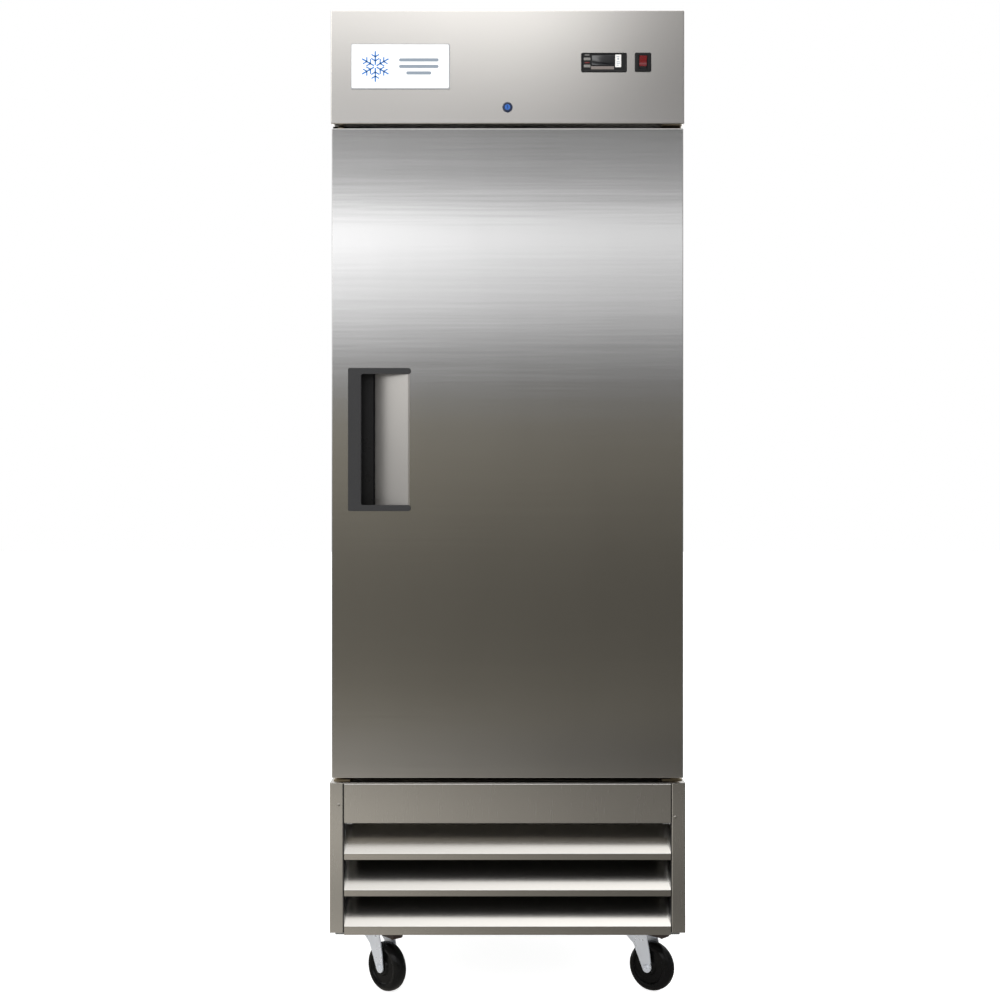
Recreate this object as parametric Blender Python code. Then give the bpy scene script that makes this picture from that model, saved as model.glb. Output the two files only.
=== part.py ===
"""Reach-in refrigerator: one hinged door, bottom-mounted refrigeration, four swivel casters.

Metres, +Z up, front of the cabinet towards -Y, origin on the floor under the middle of the cabinet.
"""
from math import cos, pi, radians, sin

import bmesh
import bpy
from mathutils import Matrix

# ---------------------------------------------------------------- driving dimensions
GAP = 0.0003                 # left between pieces that touch

DEPTH = 0.8215               # door face to back panel
WIDTH = 0.737                # over the base sides
BODY_INSET = 0.0025          # base side to cabinet side
DOOR_INSET = 0.002           # cabinet side to door edge

SKIRT_DROP = 0.007           # the tray's skirts hang below its floor
BASE_HEIGHT = 0.315          # lower edge of the skirts to the top of the deck
BODY_HEIGHT = 1.599          # insulated cabinet with the header
HEADER_HEIGHT = 0.235
DOOR_TOP_GAP = 0.009
DOOR_BOTTOM_GAP = 0.010

SHEET = 0.0012               # outer stainless sheet
LINER_SHEET = 0.001
DECK_SHEET = 0.0015
WALL = 0.060                 # outside of the cabinet to the inside of the liner
OPENING_OVERLAP = 0.050      # the door reaches this far above the opening

DOOR_THICKNESS = 0.064
GASKET_SPACE = 0.016         # back of the door to the face frame
GASKET_INSET = 0.024         # door edge to the gasket's outer edge
GASKET_WIDTH = 0.022
FIELD_INSET = 0.062          # door edge to the liner's raised field
FIELD_RISE = 0.010

PIN_INSET = 0.018            # door edge to the hinge pin
PIN_SETBACK = 0.038          # door face to the hinge pin
PIN_RADIUS = 0.005
PIN_ENGAGEMENT = 0.013
PIN_CLEARANCE = 0.0004
LEAF_THICKNESS = 0.003
LEAF_LENGTH = 0.042
LEG_HEIGHT = 0.023

HANDLE_INSET = 0.034         # door edge to the grip's outer edge
HANDLE_RISE = 0.5525         # door's lower edge to the handle's
HANDLE_SIZE = (0.130, 0.2963)
GRIP_WIDTH = 0.027
GRIP_ARM = 0.0126
GRIP_DEPTH = 0.013
GRIP_PROUD = 0.0035
CUP_DEPTH = 0.038
CUP_FLOOR_WIDTH = 0.0475     # flat floor of the cup, before it slopes up
CUP_WIDTH = 0.1204
CUP_SHEET = 0.001
CUP_REACH = 0.004            # the cup goes on under the grip's outer edges

HEADER_LIP = 0.050           # depth of the header's lower flange
BADGE_SIZE = (0.205, 0.0942)
BADGE_PLACE = (0.1445, 0.1166)         # centre, from the cabinet's left side and its top
BADGE_THICKNESS = 0.002
THERMOSTAT_SIZE = (0.095, 0.0398)
THERMOSTAT_PLACE = (0.1663, 0.1080)    # centre, from the cabinet's right side and its top
THERMOSTAT_BODY = (0.088, 0.030, 0.055)
THERMOSTAT_PROUD = 0.003
LENS_SIZE = (0.046, 0.0203)
LENS_OFFSET = (-0.0022, 0.0040)
LENS_THICKNESS = 0.0012
KEY_SIZE = (0.0140, 0.0055)
KEY_OFFSET_X = -0.0350
KEY_OFFSETS_Z = (0.0068, -0.0078)
KEY_TRAVEL = 0.0008
SWITCH_SIZE = (0.0342, 0.0394)
SWITCH_PLACE = (0.0856, 0.1075)
SWITCH_BODY = (0.028, 0.034, 0.024)
ROCKER_WIDTH = 0.0155
ROCKER_HALF = 0.0135
ROCKER_TILT = 10.0           # degrees each side of the middle

LOCK_DROP = 0.2005           # top of the cabinet to the lock's axis
LOCK_RADIUS = 0.0105
LOCK_BARREL_RADIUS = 0.009
LOCK_PLUG_RADIUS = 0.006
LOCK_LENGTH = 0.024
CAM_LENGTH = 0.0535
CAM_WIDTH = 0.012
CAM_THICKNESS = 0.003

POST_WIDTH = 0.0285
POST_RETURN = 0.018
SIDE_LIFT = 0.0045           # the base sides end above the skirts' lower edge
FASCIA_HEIGHT = 0.0822
END_PLATE_DEPTH = 0.062
LOUVER_LIP = 0.0126
LOUVER_LAST_LIP = 0.0175
LOUVER_RUN = 0.050
LOUVER_RISE = 0.052
REAR_GRILLE_INSET = 0.025
REAR_SLOTS = 6

SHELF_COUNT = 3
SHELF_THICKNESS = 0.006
SHELF_FIRST = 0.290          # liner floor to the first shelf
SHELF_PITCH = 0.300
SHELF_SETBACK = 0.036
SHELF_CLEARANCE = 0.0012
SHELF_WIRES = 6
PILASTER_SIZE = (0.005, 0.018)
PILASTER_SETBACK = 0.110
CLIP_SIZE = (0.012, 0.014, 0.005)

COVER_DROP = 0.190           # evaporator cover below the liner's ceiling
COVER_WIDTH = 0.560
COVER_DEPTH = 0.520
COVER_SETBACK = 0.045        # behind the lintel
EVAPORATOR_FAN_RADIUS = 0.078
FAN_CLEARANCE = 0.005
CONDENSER_FAN_RADIUS = 0.100
CONDENSER_WIDTH = 0.340
COMPRESSOR_PLACE = (0.1800, 0.471)     # centre, from the left post's inner edge and the front
COMPRESSOR_RADIUS = 0.080
COMPRESSOR_HEIGHT = 0.195

WHEEL_RADIUS = 0.052
WHEEL_WIDTH = 0.032
AXLE_RADIUS = 0.004
AXLE_CLEARANCE = 0.0004
TRAIL = 0.035
WHEEL_CLEARANCE = 0.028      # tread to the fork's crown
RACE_HEIGHT = 0.015          # crown to the underside of the base tray
RACE_RADIUS = 0.024
BRAKE_PLACE = (0.032, 0.010)           # pivot behind the swivel axis and below the crown's top
WHEEL_SEGMENTS = 32
CASTER_INSET = 0.0885        # base side to swivel axis
CASTER_FRONT_SETBACK = 0.124
CASTER_REAR_SETBACK = 0.110
FORK_PLATE = 0.003
MOUNT_PLATE = (0.090, 0.066, 0.003)
CASTER_HEADINGS = {"front_left": -47.0, "front_right": -38.0, "rear_left": 62.0, "rear_right": 48.0}
BRAKED = ("front_left", "front_right")

# ---------------------------------------------------------------- derived places
FRONT = -DEPTH / 2
BACK = DEPTH / 2
DOOR_BACK = FRONT + DOOR_THICKNESS
FACE = DOOR_BACK + GASKET_SPACE
CROWN_TOP = 2 * WHEEL_RADIUS + WHEEL_CLEARANCE + FORK_PLATE
CASTER_HEIGHT = CROWN_TOP + RACE_HEIGHT
BASE_BOTTOM = CASTER_HEIGHT - SKIRT_DROP
BASE_TOP = BASE_BOTTOM + BASE_HEIGHT
TOP = BASE_TOP + BODY_HEIGHT
HEADER_BOTTOM = TOP - HEADER_HEIGHT
DOOR_BOTTOM = BASE_TOP + DOOR_BOTTOM_GAP
DOOR_TOP = HEADER_BOTTOM - DOOR_TOP_GAP
BODY_BOTTOM = BASE_TOP + GAP
HALF_BASE = WIDTH / 2
HALF_BODY = HALF_BASE - BODY_INSET
HALF_DOOR = HALF_BODY - DOOR_INSET
INSIDE_X = HALF_BODY - WALL
INSIDE_FLOOR = BODY_BOTTOM + WALL
INSIDE_CEILING = TOP - WALL
INSIDE_BACK = BACK - WALL
LINTEL_BACK = FACE + WALL
OPENING_TOP = DOOR_TOP - OPENING_OVERLAP
PIN_X = HALF_DOOR - PIN_INSET
PIN_Y = FRONT + PIN_SETBACK
HANDLE_LEFT = -HALF_DOOR + HANDLE_INSET
HANDLE_RIGHT = HANDLE_LEFT + HANDLE_SIZE[0]
HANDLE_BOTTOM = DOOR_BOTTOM + HANDLE_RISE
HANDLE_TOP = HANDLE_BOTTOM + HANDLE_SIZE[1]
HANDLE_SPAN = (HANDLE_BOTTOM + GRIP_ARM - CUP_REACH, HANDLE_TOP - GRIP_ARM + CUP_REACH)
CUP_LEFT = HANDLE_LEFT + CUP_REACH
CUP_SLOPE_START = CUP_LEFT + CUP_FLOOR_WIDTH
CUP_RIGHT = CUP_LEFT + CUP_WIDTH
BADGE_CENTRE = (-HALF_BODY + BADGE_PLACE[0], TOP - BADGE_PLACE[1])
THERMOSTAT_CENTRE = (HALF_BODY - THERMOSTAT_PLACE[0], TOP - THERMOSTAT_PLACE[1])
SWITCH_CENTRE = (HALF_BODY - SWITCH_PLACE[0], TOP - SWITCH_PLACE[1])
LOCK_Z = TOP - LOCK_DROP
TRAY_TOP = CASTER_HEIGHT + DECK_SHEET
DECK_BOTTOM = BASE_TOP - DECK_SHEET
POST_INNER = HALF_BASE - POST_WIDTH
CASTER_X = HALF_BASE - CASTER_INSET

# ---------------------------------------------------------------- small modelling tools


def clear_scene():
    """Empty the scene, whatever it held."""
    for obj in list(bpy.data.objects):
        bpy.data.objects.remove(obj, do_unlink=True)


def finish_material(name, hex_colour, metallic, roughness):
    """A Principled material from an sRGB hex colour."""
    channels = [int(hex_colour[i:i + 2], 16) / 255 for i in (0, 2, 4)]
    linear = [c / 12.92 if c <= 0.04045 else ((c + 0.055) / 1.055) ** 2.4 for c in channels]
    made = bpy.data.materials.new(name)
    made.use_nodes = True
    shader = made.node_tree.nodes["Principled BSDF"]
    shader.inputs["Base Color"].default_value = (*linear, 1)
    shader.inputs["Metallic"].default_value = metallic
    shader.inputs["Roughness"].default_value = roughness
    return made


FINISHES = {
    "stainless": ("b4b1ac", 1.0, 0.32),
    "galvanised": ("9fa3a6", 1.0, 0.5),
    "zinc": ("c4c9d2", 1.0, 0.3),
    "black_plastic": ("2a2a2a", 0.0, 0.45),
    "white_plastic": ("eceeef", 0.0, 0.35),
    "grey_rubber": ("8d8e8c", 0.0, 0.7),
    "tread": ("161616", 0.0, 0.6),
    "foam": ("e6d9a6", 0.0, 0.9),
    "epoxy_wire": ("d8dadb", 0.0, 0.4),
    "aluminium": ("c9cbcd", 1.0, 0.35),
    "black_enamel": ("1c1c1e", 0.0, 0.35),
    "lens": ("15171a", 0.0, 0.1),
    "red_plastic": ("8c1a16", 0.0, 0.3),
    "blue_plastic": ("2a5590", 0.0, 0.35),
}


def add_object(name, shape, finish):
    """Put a bmesh into a new object with its own material."""
    bmesh.ops.recalc_face_normals(shape, faces=shape.faces[:])
    mesh = bpy.data.meshes.new(name)
    shape.to_mesh(mesh)
    shape.free()
    mesh.materials.append(finish_material(name, *FINISHES[finish]))
    obj = bpy.data.objects.new(name, mesh)
    bpy.context.scene.collection.objects.link(obj)
    return obj


def box(low, high):
    """A bmesh box between two corners."""
    shape = bmesh.new()
    size = [h - l for l, h in zip(low, high)]
    centre = [(h + l) / 2 for l, h in zip(low, high)]
    place = Matrix.Translation(centre) @ Matrix.Diagonal((*size, 1))
    bmesh.ops.create_cube(shape, size=1.0, matrix=place)
    return shape


def prism(outline, along, start, end):
    """An outline extruded along X, Y or Z; its points are the other two coordinates, in order."""
    def point(u, v, w):
        return {"X": (w, u, v), "Y": (u, w, v), "Z": (u, v, w)}[along]
    shape = bmesh.new()
    lower = shape.faces.new([shape.verts.new(point(u, v, start)) for u, v in outline])
    grown = bmesh.ops.extrude_face_region(shape, geom=[lower])
    shift = Matrix.Translation(point(0, 0, end - start))
    moved = [item for item in grown["geom"] if isinstance(item, bmesh.types.BMVert)]
    bmesh.ops.transform(shape, matrix=shift, verts=moved)
    return shape


def turned(profile, segments, along="Z", centre=(0, 0, 0), phase=0.0):
    """A closed (radius, height) profile turned about an axis through centre."""
    shape = bmesh.new()
    rings = []
    for step in range(segments):
        angle = 2 * pi * (step + phase) / segments
        rings.append([shape.verts.new((r * cos(angle), r * sin(angle), h)) for r, h in profile])
    count = len(profile)
    for step in range(segments):
        near, far = rings[step], rings[(step + 1) % segments]
        for i in range(count):
            j = (i + 1) % count
            shape.faces.new((near[i], far[i], far[j], near[j]))
    bmesh.ops.remove_doubles(shape, verts=shape.verts[:], dist=1e-6)
    turn = {"Z": Matrix(), "Y": Matrix.Rotation(pi / 2, 4, "X"), "X": Matrix.Rotation(pi / 2, 4, "Y")}[along]
    bmesh.ops.transform(shape, matrix=Matrix.Translation(centre) @ turn, verts=shape.verts[:])
    return shape


def rod(radius, start, end, along, centre, segments=16):
    """A cylinder between two coordinates of its axis; centre gives the other two."""
    shape = bmesh.new()
    bmesh.ops.create_cone(shape, cap_ends=True, segments=segments, radius1=radius, radius2=radius,
                          depth=end - start)
    turn = {"Z": Matrix(), "Y": Matrix.Rotation(pi / 2, 4, "X"), "X": Matrix.Rotation(pi / 2, 4, "Y")}[along]
    middle = (start + end) / 2
    u, v = centre
    place = {"X": (middle, u, v), "Y": (u, middle, v), "Z": (u, v, middle)}[along]
    bmesh.ops.transform(shape, matrix=Matrix.Translation(place) @ turn, verts=shape.verts[:])
    return shape


def boolean(obj, shape, operation, label):
    """Cut a shape from an object, or join it on, with a live Boolean modifier."""
    bmesh.ops.recalc_face_normals(shape, faces=shape.faces[:])
    mesh = bpy.data.meshes.new(f"{obj.name}_{label}")
    shape.to_mesh(mesh)
    shape.free()
    tool = bpy.data.objects.new(f"{obj.name}_{label}", mesh)
    bpy.context.scene.collection.objects.link(tool)
    tool.hide_render = True
    tool.display_type = "WIRE"
    tool.parent = obj
    step = obj.modifiers.new(label, "BOOLEAN")
    step.operation = operation
    step.solver = "EXACT"
    step.object = tool


def cut(obj, *shapes):
    """Subtract each shape from the object."""
    for index, shape in enumerate(shapes):
        boolean(obj, shape, "DIFFERENCE", f"cut_{len(obj.modifiers)}_{index}")


def join(obj, *shapes):
    """Unite each shape with the object."""
    for index, shape in enumerate(shapes):
        boolean(obj, shape, "UNION", f"join_{len(obj.modifiers)}_{index}")


def smooth(obj, angle=35.0):
    """Shade round surfaces smooth and keep the sharp edges."""
    obj.data.shade_smooth()
    obj.data.set_sharp_from_angle(angle=radians(angle))


# ---------------------------------------------------------------- cabinet


def stepped_prism(grow, front, half_width):
    """The liner's cavity: a throat under the lintel, then the full height. It grows by an offset."""
    outline = [
        (front, INSIDE_FLOOR - grow),
        (INSIDE_BACK + grow, INSIDE_FLOOR - grow),
        (INSIDE_BACK + grow, INSIDE_CEILING + grow),
        (LINTEL_BACK - grow, INSIDE_CEILING + grow),
        (LINTEL_BACK - grow, OPENING_TOP + grow),
        (front, OPENING_TOP + grow),
    ]
    return prism(outline, "X", -half_width - grow, half_width + grow)


def make_cabinet():
    behind_frame = FACE + SHEET + GAP
    before_back = BACK - SHEET - GAP
    shell = add_object("outer_shell", box((-HALF_BODY, behind_frame, BODY_BOTTOM),
                                          (HALF_BODY, before_back, TOP)), "stainless")
    cut(shell, box((-HALF_BODY + SHEET, FACE, BODY_BOTTOM + SHEET),
                   (HALF_BODY - SHEET, BACK, TOP - SHEET)))
    add_object("back_panel", box((-HALF_BODY, BACK - SHEET, BODY_BOTTOM),
                                 (HALF_BODY, BACK, TOP)), "galvanised")
    inset = SHEET + GAP
    foam = add_object("cabinet_foam", box((-HALF_BODY + inset, behind_frame, BODY_BOTTOM + inset),
                                          (HALF_BODY - inset, before_back, TOP - inset)), "foam")
    cut(foam, stepped_prism(LINER_SHEET + GAP, FACE - WALL, INSIDE_X))
    liner = add_object("inner_liner", stepped_prism(LINER_SHEET, behind_frame, INSIDE_X), "aluminium")
    cut(liner, stepped_prism(0.0, FACE - WALL, INSIDE_X))
    frame = add_object("face_frame", box((-HALF_BODY, FACE, BODY_BOTTOM),
                                         (HALF_BODY, FACE + SHEET, TOP)), "stainless")
    cut(frame, box((-INSIDE_X, FACE - WALL, INSIDE_FLOOR), (INSIDE_X, FACE + WALL, OPENING_TOP)))


def shelf_levels():
    return [INSIDE_FLOOR + SHELF_FIRST + SHELF_PITCH * i for i in range(SHELF_COUNT)]


def make_pilasters():
    thick, width = PILASTER_SIZE
    reach, clip_width, clip_height = CLIP_SIZE
    rows = {"front": FACE + PILASTER_SETBACK, "rear": INSIDE_BACK - PILASTER_SETBACK}
    for row, centre in rows.items():
        for side, sign in (("left", -1), ("right", 1)):
            wall = sign * (INSIDE_X - GAP)
            inner = wall - sign * thick
            strip = add_object(f"pilaster_{row}_{side}", box(
                (min(wall, inner), centre - width / 2, INSIDE_FLOOR + GAP),
                (max(wall, inner), centre + width / 2, OPENING_TOP)), "stainless")
            for level in shelf_levels():
                tip = inner - sign * reach
                root = wall - sign * thick / 2
                join(strip, box((min(tip, root), centre - clip_width / 2, level - clip_height - GAP),
                                (max(tip, root), centre + clip_width / 2, level - GAP)))


def make_shelves():
    half = INSIDE_X - GAP - PILASTER_SIZE[0] - SHELF_CLEARANCE
    near = FACE + SHELF_SETBACK
    far = INSIDE_BACK - SHELF_SETBACK / 3
    bar = SHELF_THICKNESS
    names = ("shelf_lower", "shelf_middle", "shelf_upper")
    for name, level in zip(names, shelf_levels()):
        slab = add_object(name, box((-half, near, level), (half, far, level + bar)), "epoxy_wire")
        pitch = (2 * half - bar) / (SHELF_WIRES + 1)
        for i in range(SHELF_WIRES + 1):
            left = -half + bar + pitch * i
            cut(slab, box((left, near + bar, level - bar), (left + pitch - bar, far - bar, level + 2 * bar)))


# ---------------------------------------------------------------- header


def make_header():
    rear = FACE - GAP
    cover = add_object("header_cover", box((-HALF_BODY, FRONT, HEADER_BOTTOM),
                                           (HALF_BODY, rear, TOP)), "stainless")
    cut(cover, box((-HALF_BODY + SHEET, FRONT + SHEET, HEADER_BOTTOM + SHEET),
                   (HALF_BODY - SHEET, rear + WALL, TOP - SHEET)))
    cut(cover, box((-HALF_BODY + SHEET, FRONT + HEADER_LIP, HEADER_BOTTOM - WALL),
                   (HALF_BODY - SHEET, rear + WALL, HEADER_BOTTOM + 2 * SHEET)))
    for centre, body in ((THERMOSTAT_CENTRE, THERMOSTAT_BODY), (SWITCH_CENTRE, SWITCH_BODY)):
        cut(cover, panel_box(centre, body[:2], FRONT - WALL, FRONT + SHEET + GAP, GAP))
    cut(cover, rod(LOCK_BARREL_RADIUS + GAP, FRONT - WALL, FRONT + 2 * SHEET, "Y", (0, LOCK_Z), 24))
    cut(cover, cam_slot(HEADER_BOTTOM - SHEET, HEADER_BOTTOM + 2 * SHEET))
    add_object("badge_plate", panel_box(BADGE_CENTRE, BADGE_SIZE, FRONT - GAP - BADGE_THICKNESS,
                                        FRONT - GAP), "white_plastic")


def panel_box(centre, size, near, far, grow=0.0):
    """A box on the header, from its centre (x, z) and its face size."""
    x, z = centre
    half_x, half_z = size[0] / 2 + grow, size[1] / 2 + grow
    return box((x - half_x, near, z - half_z), (x + half_x, far, z + half_z))


def make_thermostat():
    x, z = THERMOSTAT_CENTRE
    near = FRONT - THERMOSTAT_PROUD
    housing = add_object("thermostat_housing", panel_box(THERMOSTAT_CENTRE, THERMOSTAT_SIZE,
                                                         near, FRONT - GAP), "black_plastic")
    join(housing, panel_box(THERMOSTAT_CENTRE, THERMOSTAT_BODY[:2], near + THERMOSTAT_PROUD / 2,
                            FRONT + THERMOSTAT_BODY[2]))
    lens_centre = (x + LENS_OFFSET[0], z + LENS_OFFSET[1])
    pocket = near + LENS_THICKNESS
    cut(housing, panel_box(lens_centre, LENS_SIZE, near - SHEET, pocket + GAP, GAP))
    add_object("thermostat_lens", panel_box(lens_centre, LENS_SIZE, near, pocket), "lens")
    for name, offset in zip(("thermostat_button_up", "thermostat_button_down"), KEY_OFFSETS_Z):
        key_centre = (x + KEY_OFFSET_X, z + offset)
        key_back = near + THERMOSTAT_PROUD
        cut(housing, panel_box(key_centre, KEY_SIZE, near - SHEET, key_back + KEY_TRAVEL + GAP, GAP))
        add_object(name, panel_box(key_centre, KEY_SIZE, near - KEY_TRAVEL, key_back), "black_plastic")


def make_switch():
    near = FRONT - THERMOSTAT_PROUD
    housing = add_object("switch_housing", panel_box(SWITCH_CENTRE, SWITCH_SIZE, near, FRONT - GAP),
                         "black_plastic")
    join(housing, panel_box(SWITCH_CENTRE, SWITCH_BODY[:2], near + THERMOSTAT_PROUD / 2,
                            FRONT + SWITCH_BODY[2]))
    play = 0.0012
    cut(housing, panel_box(SWITCH_CENTRE, (ROCKER_WIDTH, 2 * ROCKER_HALF), near - WALL,
                           FRONT + SWITCH_BODY[2] - 0.004, play))
    half = ROCKER_WIDTH / 2
    front, middle, rear = -0.0040, -0.0022, 0.0075
    outline = [(front, -ROCKER_HALF), (middle, 0), (front, ROCKER_HALF), (0, ROCKER_HALF),
               (rear, ROCKER_HALF / 2), (rear, -ROCKER_HALF / 2), (0, -ROCKER_HALF)]
    rocker = add_object("switch_rocker", prism(outline, "X", -half, half), "red_plastic")
    rocker.location = (SWITCH_CENTRE[0], FRONT, SWITCH_CENTRE[1])
    rocker.rotation_euler = (radians(ROCKER_TILT), 0, 0)


def cam_slot(low, high):
    """The slot that the lock's cam swings down through, as wide as its path at that depth."""
    depth = LOCK_Z - high
    tip = (CAM_LENGTH ** 2 + (CAM_WIDTH / 2) ** 2) ** 0.5
    reach = (tip ** 2 - depth ** 2) ** 0.5
    play = 0.002
    near = FRONT + LOCK_LENGTH + GAP
    return box((-CAM_WIDTH / 2 - play, near - play, low), (reach + play, near + CAM_THICKNESS + play, high))


def make_lock():
    bezel = 0.003
    bore = LOCK_PLUG_RADIUS + GAP
    profile = [(bore, -bezel), (LOCK_RADIUS, -bezel), (LOCK_RADIUS, -GAP), (LOCK_BARREL_RADIUS, -GAP),
               (LOCK_BARREL_RADIUS, LOCK_LENGTH), (bore, LOCK_LENGTH)]
    flipped = [(r, -h) for r, h in profile]
    barrel = add_object("lock_barrel", turned(flipped, 24, "Y", (0, FRONT, LOCK_Z)), "blue_plastic")
    smooth(barrel)
    near = LOCK_LENGTH + GAP
    plug = add_object("lock_plug", rod(LOCK_PLUG_RADIUS, -0.0024, near + CAM_THICKNESS, "Y", (0, 0), 20),
                      "blue_plastic")
    join(plug, box((0, near, -CAM_WIDTH / 2), (CAM_LENGTH, near + CAM_THICKNESS, CAM_WIDTH / 2)))
    cut(plug, box((-0.0006, -0.004, -0.0035), (0.0006, 0.004, 0.0035)))
    plug.location = (0, FRONT, LOCK_Z)
    smooth(plug)


# ---------------------------------------------------------------- door


def make_hinges():
    left = HALF_DOOR - LEAF_LENGTH
    rear = FACE - GAP
    near = PIN_Y - 2.4 * PIN_RADIUS
    gap_middle = DOOR_TOP + (DOOR_TOP_GAP - LEAF_THICKNESS) / 2
    upper = add_object("hinge_bracket_top", box((left, near, gap_middle),
                                                (HALF_DOOR, rear, gap_middle + LEAF_THICKNESS)), "zinc")
    join(upper, box((left, rear - LEAF_THICKNESS, gap_middle),
                    (HALF_DOOR, rear, gap_middle + LEG_HEIGHT + DOOR_TOP_GAP)))
    join(upper, rod(PIN_RADIUS, DOOR_TOP - PIN_ENGAGEMENT, gap_middle + LEAF_THICKNESS / 2, "Z",
                    (PIN_X, PIN_Y)))
    seat = BASE_TOP + GAP
    lower = add_object("hinge_bracket_bottom", box((left, near, seat),
                                                   (HALF_DOOR, rear, seat + LEAF_THICKNESS)), "zinc")
    join(lower, box((left, rear - LEAF_THICKNESS, seat), (HALF_DOOR, rear, seat + LEG_HEIGHT)))
    join(lower, rod(PIN_RADIUS, seat + LEAF_THICKNESS / 2, DOOR_BOTTOM + PIN_ENGAGEMENT, "Z",
                    (PIN_X, PIN_Y)))


def pin_bores(radius):
    """Bores for both hinge pins, from outside the door to past the pins' ends."""
    deep = PIN_ENGAGEMENT + 0.003
    return (rod(radius, DOOR_TOP - deep, DOOR_TOP + deep, "Z", (PIN_X, PIN_Y)),
            rod(radius, DOOR_BOTTOM - deep, DOOR_BOTTOM + deep, "Z", (PIN_X, PIN_Y)))


def cup_outline(grow):
    """The cup's hollow seen from above, open towards the front, grown by an offset."""
    floor = FRONT + CUP_DEPTH + grow
    run = CUP_RIGHT - CUP_SLOPE_START
    slant = (run ** 2 + CUP_DEPTH ** 2) ** 0.5
    shift = grow * (slant - CUP_DEPTH) / run        # keeps the slanted wall's offset square to it
    spill = grow * slant / CUP_DEPTH
    lead = 0.010
    return [(CUP_LEFT - grow, FRONT - lead), (CUP_LEFT - grow, floor), (CUP_SLOPE_START + shift, floor),
            (CUP_RIGHT + spill, FRONT), (CUP_RIGHT + spill, FRONT - lead)]


def cup_prism(grow):
    low, high = HANDLE_SPAN
    return prism(cup_outline(grow), "Z", low - grow, high + grow)


def make_door():
    side = HALF_DOOR - LINER_SHEET
    back = DOOR_BACK - LINER_SHEET
    skin = add_object("door_skin", box((-HALF_DOOR, FRONT, DOOR_BOTTOM),
                                       (HALF_DOOR, back - GAP, DOOR_TOP)), "stainless")
    cut(skin, box((-side, FRONT + LINER_SHEET, DOOR_BOTTOM + LINER_SHEET),
                  (side, DOOR_BACK + WALL, DOOR_TOP - LINER_SHEET)))
    cut(skin, cup_prism(CUP_SHEET + GAP), cam_slot(LOCK_Z - CAM_LENGTH - 0.010, DOOR_TOP + GAP))
    cut(skin, *pin_bores(PIN_RADIUS + PIN_CLEARANCE))

    inset = LINER_SHEET + GAP
    foam = add_object("door_foam", box((-HALF_DOOR + inset, FRONT + inset, DOOR_BOTTOM + inset),
                                       (HALF_DOOR - inset, back - GAP, DOOR_TOP - inset)), "foam")
    field_x = HALF_DOOR - FIELD_INSET
    field_low, field_high = DOOR_BOTTOM + FIELD_INSET, DOOR_TOP - FIELD_INSET
    rise = DOOR_BACK + FIELD_RISE
    join(foam, box((-field_x + inset, DOOR_BACK - DOOR_THICKNESS / 2, field_low + inset),
                   (field_x - inset, rise - inset, field_high - inset)))
    cut(foam, cup_prism(CUP_SHEET + 2 * GAP), cam_slot(LOCK_Z - CAM_LENGTH - 0.010, DOOR_TOP + GAP))
    cut(foam, *pin_bores(PIN_RADIUS + 2 * PIN_CLEARANCE))

    liner = add_object("door_liner", box((-HALF_DOOR, back, DOOR_BOTTOM),
                                         (HALF_DOOR, DOOR_BACK, DOOR_TOP)), "aluminium")
    join(liner, box((-field_x, back, field_low), (field_x, rise, field_high)))
    cut(liner, box((-field_x + LINER_SHEET, back - WALL, field_low + LINER_SHEET),
                   (field_x - LINER_SHEET, rise - LINER_SHEET, field_high - LINER_SHEET)))

    low, high = DOOR_BOTTOM + GASKET_INSET, DOOR_TOP - GASKET_INSET
    half = HALF_DOOR - GASKET_INSET
    gasket = add_object("door_gasket", box((-half, DOOR_BACK + GAP, low), (half, FACE - GAP, high)),
                        "grey_rubber")
    cut(gasket, box((-half + GASKET_WIDTH, DOOR_BACK - WALL, low + GASKET_WIDTH),
                    (half - GASKET_WIDTH, FACE + WALL, high - GASKET_WIDTH)))


def make_handle():
    cup = add_object("handle_cup", cup_prism(CUP_SHEET), "stainless")
    cut(cup, cup_prism(0.0))
    lead = 0.012
    cut(cup, box((HANDLE_LEFT - lead, FRONT - 2 * lead, HANDLE_BOTTOM - lead),
                 (HANDLE_RIGHT + lead, FRONT + GAP, HANDLE_TOP + lead)))

    near, skin = FRONT - GRIP_PROUD, FRONT - GAP
    grip = add_object("handle_grip", box((HANDLE_LEFT, near, HANDLE_BOTTOM),
                                         (HANDLE_LEFT + GRIP_WIDTH, skin, HANDLE_TOP)), "black_plastic")
    arms = ((HANDLE_BOTTOM, HANDLE_BOTTOM + GRIP_ARM), (HANDLE_TOP - GRIP_ARM, HANDLE_TOP))
    for low, high in arms:
        tip = GRIP_ARM / 2
        middle = (low + high) / 2
        end = HANDLE_RIGHT - tip
        outline = [(HANDLE_LEFT + GRIP_WIDTH / 2, low)]
        outline += [(end + tip * cos(a), middle + tip * sin(a))
                    for a in (radians(-90 + 22.5 * i) for i in range(9))]
        outline += [(HANDLE_LEFT + GRIP_WIDTH / 2, high)]
        join(grip, prism(outline, "Y", near, skin))
    low, high = HANDLE_SPAN
    join(grip, box((CUP_LEFT + GAP, near + GRIP_PROUD / 2, low + GAP),
                   (HANDLE_LEFT + GRIP_WIDTH, FRONT + GRIP_DEPTH, high - GAP)))


# ---------------------------------------------------------------- base


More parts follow.
